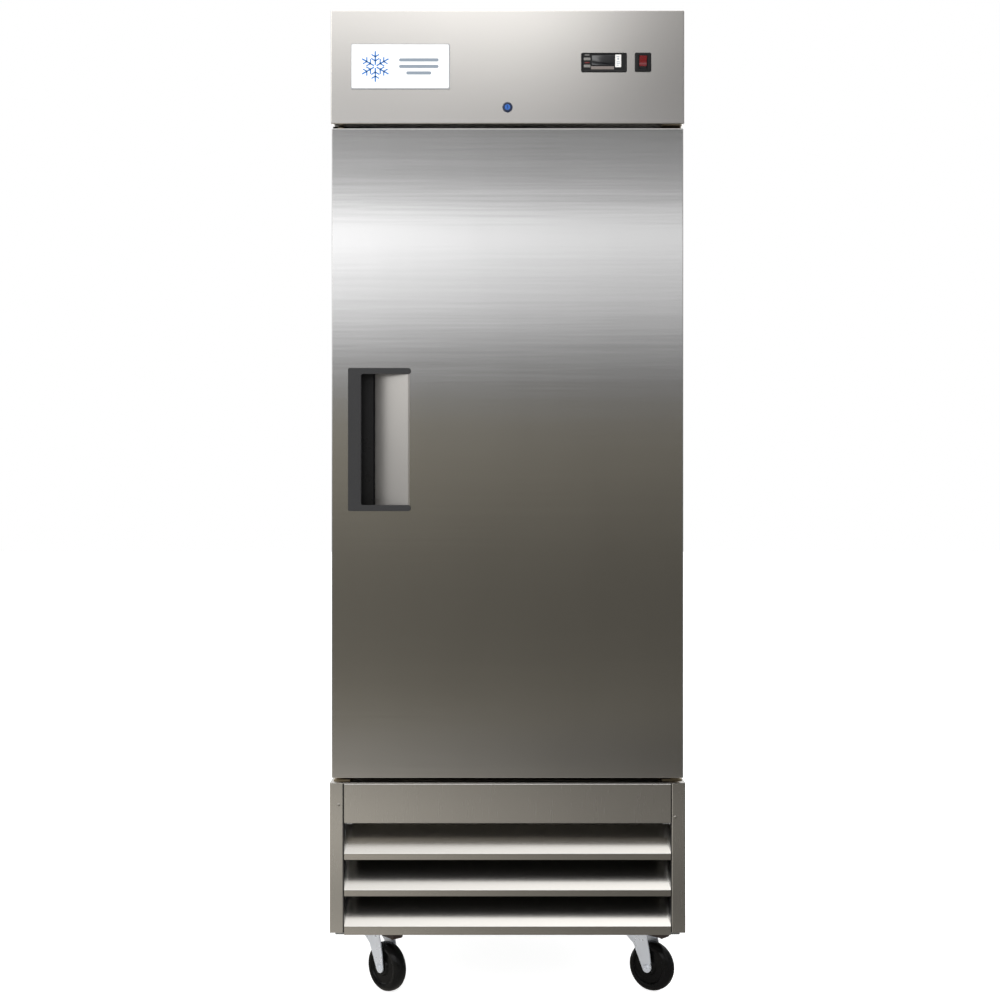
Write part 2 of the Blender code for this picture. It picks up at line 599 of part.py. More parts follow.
def make_base():
    side_bottom = BASE_BOTTOM + SIDE_LIFT
    side_top = DECK_BOTTOM - GAP
    for name, sign in (("base_side_left", -1), ("base_side_right", 1)):
        outer, inner, wall = HALF_BASE, POST_INNER, HALF_BASE - SHEET
        lip = inner + SHEET
        outline = [(inner, FRONT), (outer, FRONT), (outer, BACK), (inner, BACK),
                   (inner, BACK - SHEET), (wall, BACK - SHEET), (wall, FRONT + SHEET),
                   (lip, FRONT + SHEET), (lip, FRONT + POST_RETURN), (inner, FRONT + POST_RETURN)]
        side = add_object(name, prism([(sign * x, y) for x, y in outline], "Z", side_bottom, side_top),
                          "stainless")
        # The foot flange rests on the tray's edge and closes the machine compartment from below.
        near_x, far_x = sorted((sign * inner, sign * outer))
        join(side, box((near_x, FRONT, side_bottom), (far_x, BACK, side_bottom + SHEET)))

    add_object("base_deck", box((-HALF_BASE, FRONT, DECK_BOTTOM), (HALF_BASE, BACK, BASE_TOP)),
               "stainless")

    play = 0.0115
    half = HALF_BASE - play
    near, far = FRONT + 0.004, BACK - 0.004
    floor_half = POST_INNER - SHEET
    tray = add_object("base_tray", box((-half, near, BASE_BOTTOM), (half, far, side_bottom - GAP)),
                      "galvanised")
    pan = (FRONT + POST_RETURN + SHEET, BACK - POST_RETURN)
    join(tray, box((-floor_half, pan[0], BASE_BOTTOM), (floor_half, pan[1], TRAY_TOP)))
    cut(tray, box((-floor_half + DECK_SHEET, pan[0] + DECK_SHEET, BASE_BOTTOM - WALL),
                  (floor_half - DECK_SHEET, pan[1] - DECK_SHEET, CASTER_HEIGHT)))


def make_grilles():
    deck = DECK_BOTTOM - GAP
    fascia_bottom = BASE_TOP - FASCIA_HEIGHT - (BASE_TOP - deck)
    plate_outer = POST_INNER - GAP
    plate_inner = plate_outer - SHEET
    face_half = plate_inner - GAP
    deep = FRONT + END_PLATE_DEPTH
    frame = add_object("grille_frame", box((-face_half, FRONT, fascia_bottom),
                                           (face_half, FRONT + SHEET, deck)), "stainless")
    join(frame, box((-plate_outer, FRONT + 2 * SHEET, deck - SHEET), (plate_outer, deep, deck)),
         box((-face_half, FRONT, deck - SHEET), (face_half, FRONT + 4 * SHEET, deck)),
         box((-face_half, FRONT, fascia_bottom), (face_half, FRONT + POST_RETURN, fascia_bottom + SHEET)))
    for sign in (-1, 1):
        inner, outer = sorted((sign * plate_inner, sign * plate_outer))
        join(frame, box((inner, FRONT + 2 * SHEET, TRAY_TOP + GAP), (outer, deep, deck)))

    half = plate_inner - GAP
    last_top = BASE_BOTTOM + LOUVER_LAST_LIP
    names = ("louver_top", "louver_middle", "louver_bottom")
    pitch = (fascia_bottom - last_top + LOUVER_LIP) / len(names)
    for index, name in enumerate(names):
        last = name == names[-1]
        top = last_top + pitch * (len(names) - 1 - index)
        lip = LOUVER_LAST_LIP if last else LOUVER_LIP
        slope = (LOUVER_RUN ** 2 + LOUVER_RISE ** 2) ** 0.5
        drop = SHEET * slope / LOUVER_RUN
        rise_at = LOUVER_RISE / LOUVER_RUN
        outline = [(FRONT, top - lip), (FRONT + SHEET, top - lip),
                   (FRONT + SHEET, top + SHEET * rise_at - drop),
                   (FRONT + LOUVER_RUN, top + LOUVER_RISE - drop),
                   (FRONT + LOUVER_RUN, top + LOUVER_RISE), (FRONT, top)]
        add_object(name, prism(outline, "X", -half, half), "stainless")

    far = BACK - REAR_GRILLE_INSET
    low, high = TRAY_TOP + GAP, deck
    rear = add_object("rear_grille", box((-POST_INNER, far - SHEET, low), (POST_INNER, far, high)),
                      "galvanised")
    margin = 0.045
    pitch = (high - low - 2 * margin) / REAR_SLOTS
    right = POST_INNER - 3 * margin
    for i in range(REAR_SLOTS):
        z = low + margin + pitch * i
        cut(rear, box((-POST_INNER + margin, far - WALL, z), (right, far + WALL, z + pitch / 2)))

    bore, neck, flange = 0.0045, 0.008, 0.014
    start, length, rim = GAP, 0.020, 0.004
    profile = [(bore, start), (flange, start), (flange, rim), (neck, rim), (neck * 0.8, length), (bore, length)]
    flipped = [(r, -h) for r, h in profile]
    gland = add_object("cord_gland", turned(flipped, 20, "Y", (POST_INNER - margin, far, low + margin)),
                       "black_plastic")
    smooth(gland)


# ---------------------------------------------------------------- refrigeration


def fan(name, radius, hub, depth, blades, finish):
    """A fan about its own Z axis: a hub with pitched blades, in one body."""
    made = add_object(name, rod(hub, -depth / 2, depth / 2, "Z", (0, 0), 16), finish)
    thick = 0.0016
    twist = radians(28)
    for index in range(blades):
        blade = box((hub * 0.5, -radius * 0.28, -thick / 2), (radius * 0.96, radius * 0.28, thick / 2))
        turn = Matrix.Rotation(2 * pi * index / blades, 4, "Z") @ Matrix.Rotation(twist, 4, "X")
        bmesh.ops.transform(blade, matrix=turn, verts=blade.verts[:])
        join(made, blade)
    return made


def make_evaporator():
    near = LINTEL_BACK + COVER_SETBACK
    far = near + COVER_DEPTH
    half = COVER_WIDTH / 2
    high = INSIDE_CEILING - GAP
    low = INSIDE_CEILING - COVER_DROP
    cover = add_object("evaporator_cover", box((-half, near, low), (half, far, high)), "aluminium")
    cut(cover, box((-half + SHEET, near + SHEET, low + SHEET), (half - SHEET, far + WALL, high + WALL)))
    fan_y = near + EVAPORATOR_FAN_RADIUS + COVER_SETBACK
    hole = EVAPORATOR_FAN_RADIUS + FAN_CLEARANCE
    cut(cover, rod(hole, low - WALL, low + 2 * SHEET, "Z", (0, fan_y), 32))
    blades = fan("evaporator_fan", EVAPORATOR_FAN_RADIUS, 0.020, 0.030, 5, "black_plastic")
    blades.location = (0, fan_y, low + 0.030)
    coil_near = fan_y + hole + 0.030
    add_object("evaporator_coil", box((-half + WALL / 2, coil_near, low + 0.020),
                                      (half - WALL / 2, coil_near + 0.200, high - 0.020)), "aluminium")


def make_condensing_unit():
    low, high = TRAY_TOP + 0.012, DECK_BOTTOM - 0.030
    near = FRONT + END_PLATE_DEPTH + 0.020
    right = POST_INNER - WALL / 2
    left = right - CONDENSER_WIDTH
    thick = 0.044
    add_object("condenser_coil", box((left, near, low), (right, near + thick, high)), "aluminium")
    blades = fan("condenser_fan", CONDENSER_FAN_RADIUS, 0.026, 0.034, 4, "black_plastic")
    blades.rotation_euler = (radians(90), 0, 0)
    blades.location = ((left + right) / 2, near + thick + 0.060, (low + high) / 2)
    r, h = COMPRESSOR_RADIUS, COMPRESSOR_HEIGHT
    profile = [(0.0, 0.0), (0.92 * r, 0.0), (r, 0.08 * h), (r, 0.46 * h), (1.05 * r, 0.47 * h),
               (1.05 * r, 0.51 * h), (r, 0.52 * h), (0.96 * r, 0.78 * h), (0.80 * r, 0.91 * h),
               (0.50 * r, 0.985 * h), (0.0, h)]
    centre = (-POST_INNER + COMPRESSOR_PLACE[0], FRONT + COMPRESSOR_PLACE[1], TRAY_TOP + 0.014)
    dome = add_object("compressor", turned(profile, 24, "Z", centre), "black_enamel")
    smooth(dome)


# ---------------------------------------------------------------- casters


def make_caster(corner, x, y, heading, braked):
    """One caster: a fixed mount, a fork that swivels, a wheel on its axle and perhaps a brake."""
    seat = CASTER_HEIGHT - GAP
    length, width, thick = MOUNT_PLATE
    plate = box((-length / 2, -width / 2, seat - thick), (length / 2, width / 2, seat))
    mount = add_object(f"caster_mount_{corner}", plate, "zinc")
    join(mount, rod(RACE_RADIUS, CROWN_TOP + GAP, seat - thick / 2, "Z", (0, 0), 24))
    mount.location = (x, y, 0)

    inner = WHEEL_WIDTH / 2 + 0.0025
    outer = inner + FORK_PLATE
    crown = rod(RACE_RADIUS + FORK_PLATE, CROWN_TOP - FORK_PLATE, CROWN_TOP, "Z", (0, 0), 24)
    fork = add_object(f"caster_fork_{corner}", crown, "zinc")
    eye = 0.011
    top_half = 0.020
    cheek = [(-top_half, CROWN_TOP)]
    cheek += [(TRAIL + eye * cos(a), WHEEL_RADIUS + eye * sin(a))
              for a in (radians(195 + 27.5 * i) for i in range(7))]
    cheek += [(top_half + 0.006, CROWN_TOP)]
    join(fork, prism(cheek, "Y", inner, outer), prism(cheek, "Y", -outer, -inner))
    join(fork, rod(AXLE_RADIUS, -outer - 0.003, outer + 0.003, "Y", (TRAIL, WHEEL_RADIUS)))
    fork.location = (x, y, 0)
    fork.rotation_euler = (0, 0, radians(heading))

    tread, half = WHEEL_RADIUS / cos(pi / WHEEL_SEGMENTS), WHEEL_WIDTH / 2
    shoulder = 0.004
    bore = (AXLE_RADIUS + AXLE_CLEARANCE) / cos(pi / WHEEL_SEGMENTS)
    hub = 0.016
    profile = [(bore, -half), (hub, -half), (hub + 0.003, -half + 0.004), (tread * 0.70, -half + 0.005),
               (tread * 0.74, -half), (tread * 0.86, -half), (tread, -half + 2.2 * shoulder),
               (tread, half - 2.2 * shoulder), (tread * 0.86, half), (tread * 0.74, half),
               (tread * 0.70, half - 0.005), (hub + 0.003, half - 0.004), (hub, half), (bore, half)]
    wheel = add_object(f"caster_wheel_{corner}", turned(profile, WHEEL_SEGMENTS, "Y", phase=0.5), "tread")
    smooth(wheel)
    wheel.parent = fork
    wheel.location = (TRAIL, 0, WHEEL_RADIUS)

    if braked:
        pedal = add_object(f"caster_brake_{corner}", brake_shape(), "black_plastic")
        pedal.parent = fork
        pedal.location = (BRAKE_PLACE[0], 0, CROWN_TOP - BRAKE_PLACE[1])


def brake_shape():
    """A pedal whose origin is on its pivot, running back over the wheel and turned down at its end."""
    outline = [(-0.004, -0.004), (0.002, -0.007), (0.030, -0.008), (0.036, -0.010), (0.040, -0.006),
               (0.040, 0.006), (0.032, 0.009), (0.000, 0.006), (-0.004, 0.003)]
    return prism(outline, "Y", -0.013, 0.013)


def make_casters():
    rows = {"front": FRONT + CASTER_FRONT_SETBACK, "rear": BACK - CASTER_REAR_SETBACK}
    for corner, heading in CASTER_HEADINGS.items():
        row, side = corner.split("_")
        x = CASTER_X if side == "right" else -CASTER_X
        make_caster(corner, x, rows[row], heading, corner in BRAKED)


def main():
    clear_scene()
    make_cabinet()
    make_pilasters()
    make_shelves()
    make_header()
    make_thermostat()
    make_switch()
    make_lock()
    make_hinges()
    make_door()
    make_handle()
    make_base()
    make_grilles()
    make_evaporator()
    make_condensing_unit()
    make_casters()


main()
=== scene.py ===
from math import cos, pi, radians, sin

import bmesh
import bpy
import numpy as np
from mathutils import Matrix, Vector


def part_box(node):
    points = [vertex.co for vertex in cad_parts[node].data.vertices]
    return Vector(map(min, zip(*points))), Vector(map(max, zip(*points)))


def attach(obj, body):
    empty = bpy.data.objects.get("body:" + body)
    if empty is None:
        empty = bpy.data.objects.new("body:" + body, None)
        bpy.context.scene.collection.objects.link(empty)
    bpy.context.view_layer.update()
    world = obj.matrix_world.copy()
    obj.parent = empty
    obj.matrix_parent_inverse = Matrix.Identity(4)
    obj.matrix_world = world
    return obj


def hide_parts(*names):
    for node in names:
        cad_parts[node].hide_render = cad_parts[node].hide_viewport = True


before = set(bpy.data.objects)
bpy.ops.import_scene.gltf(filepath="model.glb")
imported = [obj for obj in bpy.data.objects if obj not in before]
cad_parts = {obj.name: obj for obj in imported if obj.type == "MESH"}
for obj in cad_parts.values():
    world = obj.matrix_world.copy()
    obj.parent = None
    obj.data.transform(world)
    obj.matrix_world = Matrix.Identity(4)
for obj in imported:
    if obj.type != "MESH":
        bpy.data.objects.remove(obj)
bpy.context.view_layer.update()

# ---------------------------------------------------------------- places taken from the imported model


def corners(name):
    """Lowest and highest corner of a CAD node as arrays."""
    low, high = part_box(name)
    return np.array(low), np.array(high)


def middle(name):
    """Centre of a CAD node's box."""
    low, high = corners(name)
    return (low + high) / 2


def flat_frame(low, high, axis="Y"):
    """Centre and half size of a box, seen along an axis."""
    u, v = {"X": (1, 2), "Y": (0, 2), "Z": (0, 1)}[axis]
    return ((low[u] + high[u]) / 2, (low[v] + high[v]) / 2), ((high[u] - low[u]) / 2, (high[v] - low[v]) / 2)


DOOR_LOW, DOOR_HIGH = corners("door_skin")
SIDE_LOW, SIDE_HIGH = corners("base_side_right")
GRILLE_LOW, GRILLE_HIGH = corners("grille_frame")
GASKET_LOW, GASKET_HIGH = corners("door_gasket")
GRIP_LOW, GRIP_HIGH = corners("handle_grip")
CUP_LOW, CUP_HIGH = corners("handle_cup")
HOOD_LOW, HOOD_HIGH = corners("evaporator_cover")
FRONT = DOOR_LOW[1]
BACK = corners("back_panel")[1][1]
TRAY_TOP = corners("base_tray")[1][2]
# Sheet of the base and header, sheet of the door, and the gap left between pieces that would else touch.
SHEET = 0.0012
THIN = 0.001
CLEAR = 0.0003
# Half the thickness of one fin of a coil.
FIN_HALF = 0.00012
# Casters: headings in degrees about Z, then swivel axis to wheel axis, wheel radius and height of the crown.
CORNER_NAMES = ("front_left", "front_right", "rear_left", "rear_right")
HEADINGS = {"front_left": -47.0, "front_right": -38.0, "rear_left": 62.0, "rear_right": 48.0}
TRAIL = 0.035
WHEEL_RADIUS = 0.052
CROWN_TOP = 0.135

# ---------------------------------------------------------------- mesh tools: arrays in, one part out
# A part is (points, faces) or (points, faces, material index).


def grid(points, close_u=False, close_v=False):
    """A surface over points[u, v]: each cell of the two-parameter grid becomes one quad."""
    count_u, count_v = points.shape[:2]
    u = np.arange(count_u if close_u else count_u - 1)[:, None]
    v = np.arange(count_v if close_v else count_v - 1)[None, :]
    next_u, next_v = (u + 1) % count_u, (v + 1) % count_v
    quads = np.stack([u * count_v + v, next_u * count_v + v,
                      next_u * count_v + next_v, u * count_v + next_v], -1)
    return points.reshape(-1, 3), quads.reshape(-1, 4).tolist()


def along_axis(flat, depth, axis):
    """Points from two flat coordinates and a depth along an axis; flat keeps X before Y before Z."""
    shape = np.broadcast_shapes(flat.shape[:-1], np.shape(depth))
    points = np.empty(shape + (3,))
    u, v, w = {"X": (1, 2, 0), "Y": (0, 2, 1), "Z": (0, 1, 2)}[axis]
    points[..., u], points[..., v], points[..., w] = flat[..., 0], flat[..., 1], depth
    return points


def extruded(outline, axis, start, end):
    """A closed outline carried straight along an axis, both ends closed."""
    outline = np.asarray(outline, float)
    count = len(outline)
    points, faces = grid(along_axis(outline[None], np.array([[start], [end]]), axis), close_v=True)
    return points, faces + [list(range(count)), list(range(count, 2 * count))]


def turned(profile, sides=32, closed=False):
    """A (radius, height) profile turned about Z: x = r cos a, y = r sin a, z = h."""
    profile = np.asarray(profile, float)
    angle = np.linspace(0, 2 * pi, sides, endpoint=False)[:, None]
    radius = profile[None, :, 0]
    points = np.stack([radius * np.cos(angle), radius * np.sin(angle),
                       np.broadcast_to(profile[None, :, 1], (sides, len(profile)))], -1)
    return grid(points, close_u=True, close_v=closed)


def unit(vectors):
    """Each vector divided by its length."""
    return vectors / np.linalg.norm(vectors, axis=1)[:, None]


def tube(path, radius, sides=10, closed=False):
    """A circle carried along a path; each ring is turned from the last by the bend between them."""
    path = np.asarray(path, float)
    ahead = np.roll(path, -1, 0) - path
    behind = path - np.roll(path, 1, 0)
    if not closed:
        ahead[-1], behind[0] = behind[-1], ahead[0]
    tangent = unit(unit(ahead) + unit(behind))
    side = np.cross(tangent[0], np.eye(3)[np.argmin(abs(tangent[0]))])
    sides_at = []
    for direction in tangent:
        side = side - direction * (side @ direction)
        side = side / np.linalg.norm(side)
        sides_at.append(side)
    across = np.array(sides_at)
    other = np.cross(tangent, across)
    angle = np.linspace(0, 2 * pi, sides, endpoint=False)[None, :, None]
    points = path[:, None] + radius * (np.cos(angle) * across[:, None] + np.sin(angle) * other[:, None])
    part = grid(points, close_u=closed, close_v=True)
    if closed:
        return part
    count = len(path) * sides
    return part[0], part[1] + [list(range(sides)), list(range(count - sides, count))]


def rounded(points, radius, steps=5, lead=0.0003):
    """A line of points with each inner corner made an arc; radius is one value or one per corner."""
    points = np.asarray(points, float)
    radii = np.broadcast_to(radius, (len(points) - 2,))
    line = [points[:1]]
    for before, at, after, bend in zip(points, points[1:], points[2:], radii):
        u = (before - at) / np.linalg.norm(before - at)
        v = (after - at) / np.linalg.norm(after - at)
        half = np.arccos(np.clip(u @ v, -1, 1)) / 2
        if half > pi / 2 - 1e-4 or bend <= 0:
            line.append(at[None])
            continue
        middle_way = (u + v) / np.linalg.norm(u + v)
        centre = at + middle_way * bend / sin(half)
        reach = bend / np.tan(half)
        sweep = np.linspace(-(pi / 2 - half), pi / 2 - half, steps + 1)[:, None]
        flat = (v - u) / np.linalg.norm(v - u)
        arc = centre + bend * (-middle_way * np.cos(sweep) + flat * np.sin(sweep))
        line += [(at + u * (reach + lead))[None], arc, (at + v * (reach + lead))[None]]
    line.append(points[-1:])
    return np.concatenate(line)


def offset(points, distance):
    """A line of flat points moved to its left by a distance, corners kept sharp."""
    points = np.asarray(points, float)
    step = np.diff(points, axis=0)
    step /= np.linalg.norm(step, axis=1)[:, None]
    left = np.stack([-step[:, 1], step[:, 0]], 1)
    normal = np.concatenate([left[:1], left[:-1] + left[1:], left[-1:]])
    scale = np.concatenate([[1.0], 2 / (np.linalg.norm(left[:-1] + left[1:], axis=1) ** 2), [1.0]])
    return points + normal * (scale * distance)[:, None]


def folded(points, bend, sheet):
    """Closed outline of a folded sheet: its face line with rounded bends, and that line moved to its left."""
    points = np.asarray(points, float)
    step = np.diff(points, axis=0)
    turn = step[:-1, 0] * step[1:, 1] - step[:-1, 1] * step[1:, 0]
    face = np.where(turn > 0, bend, bend - sheet)
    rear = np.where(turn > 0, bend - sheet, bend)
    return np.concatenate([rounded(points, face), rounded(offset(points, sheet), rear)[::-1]])


def rounded_loop(half_u, half_v, corner, steps):
    """A rounded rectangle about the origin, as flat points in order."""
    angle = (np.arange(4)[:, None] * pi / 2 + np.linspace(0, pi / 2, steps + 1)[None]).reshape(-1)
    sign_u = np.repeat([1, -1, -1, 1], steps + 1)
    sign_v = np.repeat([1, 1, -1, -1], steps + 1)
    return np.stack([sign_u * (half_u - corner) + corner * np.cos(angle),
                     sign_v * (half_v - corner) + corner * np.sin(angle)], 1)


def pan(centre, half, corner, stations, axis="Y", steps=6, closed=False):
    """A rounded rectangle carried through (inset, depth) stations; open ends are closed flat."""
    loops = [rounded_loop(half[0] - inset, half[1] - inset, max(corner - inset, 0.0), steps)
             + np.array(centre) for inset, depth in stations]
    depth = np.array([depth for inset, depth in stations])[None, :]
    flat = np.stack(loops, 1)
    part = grid(along_axis(flat, depth, axis), close_u=True, close_v=closed)
    if closed:
        return part
    rows, columns = flat.shape[:2]
    first = list(range(0, rows * columns, columns))
    return part[0], part[1] + [first, [i + columns - 1 for i in first]]


def sleeve(centre, half, corner, start, end, wall, steps=3):
    """A tube of rounded rectangular section along Y, its wall inside the given half sizes."""
    stations = [(0.0, start), (0.0, end), (wall, end), (wall, start)]
    return pan(centre, half, corner, stations, "Y", steps, closed=True)


def slab(near, far, near_round=0.0, far_round=0.0, steps=3):
    """Stations of a slab between two depths with a quarter round on its near and far rims."""
    angle = np.linspace(0, pi / 2, steps + 1)
    way = 1.0 if far > near else -1.0
    stations = [(near_round * (1 - sin(a)), near + way * near_round * (1 - cos(a))) for a in angle]
    stations += [(far_round * (1 - cos(a)), far - way * far_round * (1 - sin(a))) for a in angle]
    return stations


def block(low, high, edge=0.0006, axis="Y"):
    """A box with all its edges rounded."""
    low, high = np.array(low, float), np.array(high, float)
    across = "XYZ".index(axis)
    return pan(*flat_frame(low, high, axis), edge, slab(low[across], high[across], edge, edge, 2), axis, 3)


def perforated(breaks_u, breaks_v, keep, near, far, axis):
    """A plate over a grid of cells: kept cells get both faces, and walls where they meet a hole or a rim."""
    breaks_u, breaks_v = np.asarray(breaks_u, float), np.asarray(breaks_v, float)
    count_u, count_v = len(breaks_u), len(breaks_v)
    flat = np.stack(np.meshgrid(breaks_u, breaks_v, indexing="ij"), -1)
    points = along_axis(flat[None], np.array([near, far])[:, None, None], axis).reshape(-1, 3)
    level = count_u * count_v
    filled = np.pad(np.asarray(keep, bool), 1)
    i, j = np.nonzero(filled[1:-1, 1:-1])
    a, b, c, d = i * count_v + j, (i + 1) * count_v + j, (i + 1) * count_v + j + 1, i * count_v + j + 1
    quads = [np.stack([a, b, c, d], 1), np.stack([d, c, b, a], 1) + level]
    for near_edge, far_edge, di, dj in ((a, b, 0, -1), (b, c, 1, 0), (c, d, 0, 1), (d, a, -1, 0)):
        rim = ~filled[i + 1 + di, j + 1 + dj]
        p, q = near_edge[rim], far_edge[rim]
        quads.append(np.stack([p, q, q + level, p + level], 1))
    return points, np.concatenate(quads).tolist()


def placed(part, matrix):
    """A part moved by a 4x4 matrix."""
    turn = np.array(matrix.to_3x3())
    return (part[0] @ turn.T + np.array(matrix.translation), *part[1:])


def toward(direction, place):
    """Matrix that takes +Z to a direction and the origin to a place."""
    from_up = {"-Y": Matrix.Rotation(pi / 2, 4, "X"), "+Y": Matrix.Rotation(-pi / 2, 4, "X"),
               "+X": Matrix.Rotation(pi / 2, 4, "Y"), "-X": Matrix.Rotation(-pi / 2, 4, "Y"),
               "-Z": Matrix.Rotation(pi, 4, "X"), "+Z": Matrix()}[direction]
    return Matrix.Translation([float(c) for c in place]) @ from_up


def coloured(part, index):
    """A part that takes another of its piece's materials."""
    return part[0], part[1], index


def linked(name, data):
    """A new object in the scene."""
    made = bpy.data.objects.new(name, data)
    bpy.context.scene.collection.objects.link(made)
    return made


def finish_object(obj, body, stands_for):
    """Put a piece on its body, and hide the CAD nodes that it stands for."""
    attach(obj, body)
    if stands_for:
        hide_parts(*stands_for)
    return obj


def soft_edges(obj, width, segments=2, limit="ANGLE"):
    """Round an object's edges with a live bevel that keeps the flats flat."""
    bevel = obj.modifiers.new("edges", "BEVEL")
    bevel.width = width
    bevel.segments = segments
    bevel.limit_method = limit
    bevel.angle_limit = radians(40)
    bevel.harden_normals = True
    bevel.use_clamp_overlap = limit == "ANGLE"


def piece(name, parts, materials, body, stands_for=(), angle=35.0, edges=0.0):
    """One object from its parts: joined, doubles merged, faces turned outward, smooth up to an angle."""
    starts = np.cumsum([0] + [len(part[0]) for part in parts[:-1]]).tolist()
    faces = [[start + i for i in face] for part, start in zip(parts, starts) for face in part[1]]
    index = np.concatenate([np.full(len(part[1]), part[2] if len(part) > 2 else 0) for part in parts])
    mesh = bpy.data.meshes.new(name)
    mesh.from_pydata(np.concatenate([part[0] for part in parts]), [], faces)
    mesh.polygons.foreach_set("material_index", index.astype(np.int32))
    shape = bmesh.new()
    shape.from_mesh(mesh)
    bmesh.ops.remove_doubles(shape, verts=shape.verts[:], dist=2e-6)
    bmesh.ops.recalc_face_normals(shape, faces=shape.faces[:])
    shape.to_mesh(mesh)
    shape.free()
    for material in materials:
        mesh.materials.append(material)
    mesh.shade_smooth()
    mesh.set_sharp_from_angle(angle=radians(angle))
    obj = linked(name, mesh)
    if edges:
        soft_edges(obj, edges)
    return finish_object(obj, body, stands_for)


def formed(name, node, material, body, bend, sheet=SHEET, open_sides=()):
    """A sheet pan: a merged copy of a CAD node whose folds get a bend radius, inside and outside.

    An edge is a fold if both its ends lie on two of the box's faces, or of the same faces moved in
    by the sheet's thickness. Faces in open_sides, such as "+y", are where the pan is open.
    """
    shape = bmesh.new()
    shape.from_mesh(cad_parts[node].data)
    bmesh.ops.remove_doubles(shape, verts=shape.verts[:], dist=1e-5)
    bmesh.ops.recalc_face_normals(shape, faces=shape.faces[:])
    mesh = bpy.data.meshes.new(name)
    shape.to_mesh(mesh)
    shape.free()
    place = np.empty(len(mesh.vertices) * 3)
    mesh.vertices.foreach_get("co", place)
    place = place.reshape(-1, 3)
    ends = np.empty(len(mesh.edges) * 2, np.int32)
    mesh.edges.foreach_get("vertices", ends)
    ends = ends.reshape(-1, 2)
    low, high = corners(node)
    weight = np.zeros(len(ends))
    for inward in (0.0, sheet):
        on_faces = []
        for axis, letter in enumerate("xyz"):
            for sign, level in (("-", low[axis] + inward), ("+", high[axis] - inward)):
                if sign + letter not in open_sides:
                    on_faces.append(abs(place[:, axis] - level) < 2e-5)
        on_faces = np.array(on_faces)
        both = on_faces[:, ends[:, 0]] & on_faces[:, ends[:, 1]]
        weight[both.sum(0) >= 2] = 1.0
    mesh.attributes.new("bevel_weight_edge", "FLOAT", "EDGE").data.foreach_set("value", weight)
    mesh.materials.clear()
    mesh.materials.append(material)
    mesh.shade_smooth()
    mesh.set_sharp_from_angle(angle=radians(30))
    obj = linked(name, mesh)
    soft_edges(obj, bend, 4, "WEIGHT")
    return finish_object(obj, body, (node,))


def keep_node(name, material, edges=0.0):
    """Show a CAD node as it is, in a material of its own; edges rounds a welded live copy of its rims."""
    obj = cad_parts[name]
    obj.data.materials.clear()
    obj.data.materials.append(material)
    if edges:
        weld = obj.modifiers.new("weld", "WELD")
        weld.merge_threshold = 1e-5
        soft_edges(obj, edges)


# ---------------------------------------------------------------- materials


def linear(hex_colour):
    """An sRGB hex colour as linear values."""
    value = np.array([int(hex_colour[i:i + 2], 16) for i in (0, 2, 4)]) / 255
    value = np.where(value <= 0.04045, value / 12.92, ((value + 0.055) / 1.055) ** 2.4)
    return (*value.tolist(), 1.0)


def node(tree, kind, values=None, links=None, **settings):
    """Add one node with its settings, its socket values and the links into it."""
    made = tree.nodes.new(kind)
    for key, value in settings.items():
        setattr(made, key, value)
    for key, value in (values or {}).items():
        made.inputs[key].default_value = value
    for key, socket in (links or {}).items():
        tree.links.new(socket, made.inputs[key])
    return made


def per_metre(size_mm):
    """Pattern scale whose features are about this many millimetres."""
    return 1000.0 / size_mm


def material(name, colour, metallic=0.0, roughness=0.5, **extra):
    """A Principled material; returns it with its tree and shader."""
    made = bpy.data.materials.new(name)
    made.use_nodes = True
    tree = made.node_tree
    shader = tree.nodes["Principled BSDF"]
    values = {"Base Color": linear(colour), "Metallic": metallic, "Roughness": roughness}
    values.update({key.replace("_", " "): value for key, value in extra.items()})
    for key, value in values.items():
        shader.inputs[key].default_value = value
    return made, tree, shader


def stretched_noise(tree, size_mm, detail=2.0, roughness=0.5):
    """Noise in the piece's own coordinates; size_mm gives the feature size along X, Y and Z."""
    place = node(tree, "ShaderNodeTexCoord")
    scaled = node(tree, "ShaderNodeMapping", {"Scale": [per_metre(mm) for mm in size_mm]},
                  {"Vector": place.outputs["Object"]})
    return node(tree, "ShaderNodeTexNoise", {"Scale": 1.0, "Detail": detail, "Roughness": roughness},
                {"Vector": scaled.outputs["Vector"]})


def varied(tree, shader, source, low, high):
    """Roughness from low to high as a pattern goes from 0.25 to 0.75, where noise mostly lies."""
    limits = {"From Min": 0.25, "From Max": 0.75, "To Min": low, "To Max": high}
    level = node(tree, "ShaderNodeMapRange", limits, {"Value": source})
    tree.links.new(level.outputs["Result"], shader.inputs["Roughness"])


def tinted(tree, shader, source, low, high):
    """Base colour mixed from two linear colours by a pattern: low (1 - p) + high p."""
    tint = node(tree, "ShaderNodeMix", {6: low, 7: high}, {0: source}, data_type="RGBA")
    tree.links.new(tint.outputs[2], shader.inputs["Base Color"])


def shaded(colour, factor):
    """A hex colour as linear values, each times a factor."""
    return [c * factor for c in linear(colour)[:3]] + [1.0]


def cells_of(tree, size_mm):
    """Irregular cells of about a size, in the piece's own coordinates."""
    place = node(tree, "ShaderNodeTexCoord")
    return node(tree, "ShaderNodeTexVoronoi", {"Scale": per_metre(size_mm)},
                {"Vector": place.outputs["Object"]})


def relief(tree, shader, height, depth_mm, under=None):
    """Bump of a given depth; under is a bump that it lies on."""
    links = {"Height": height}
    if under:
        links["Normal"] = under
    bump = node(tree, "ShaderNodeBump", {"Strength": 1.0, "Distance": depth_mm / 1000}, links)
    tree.links.new(bump.outputs["Normal"], shader.inputs["Normal"])
    return bump.outputs["Normal"]


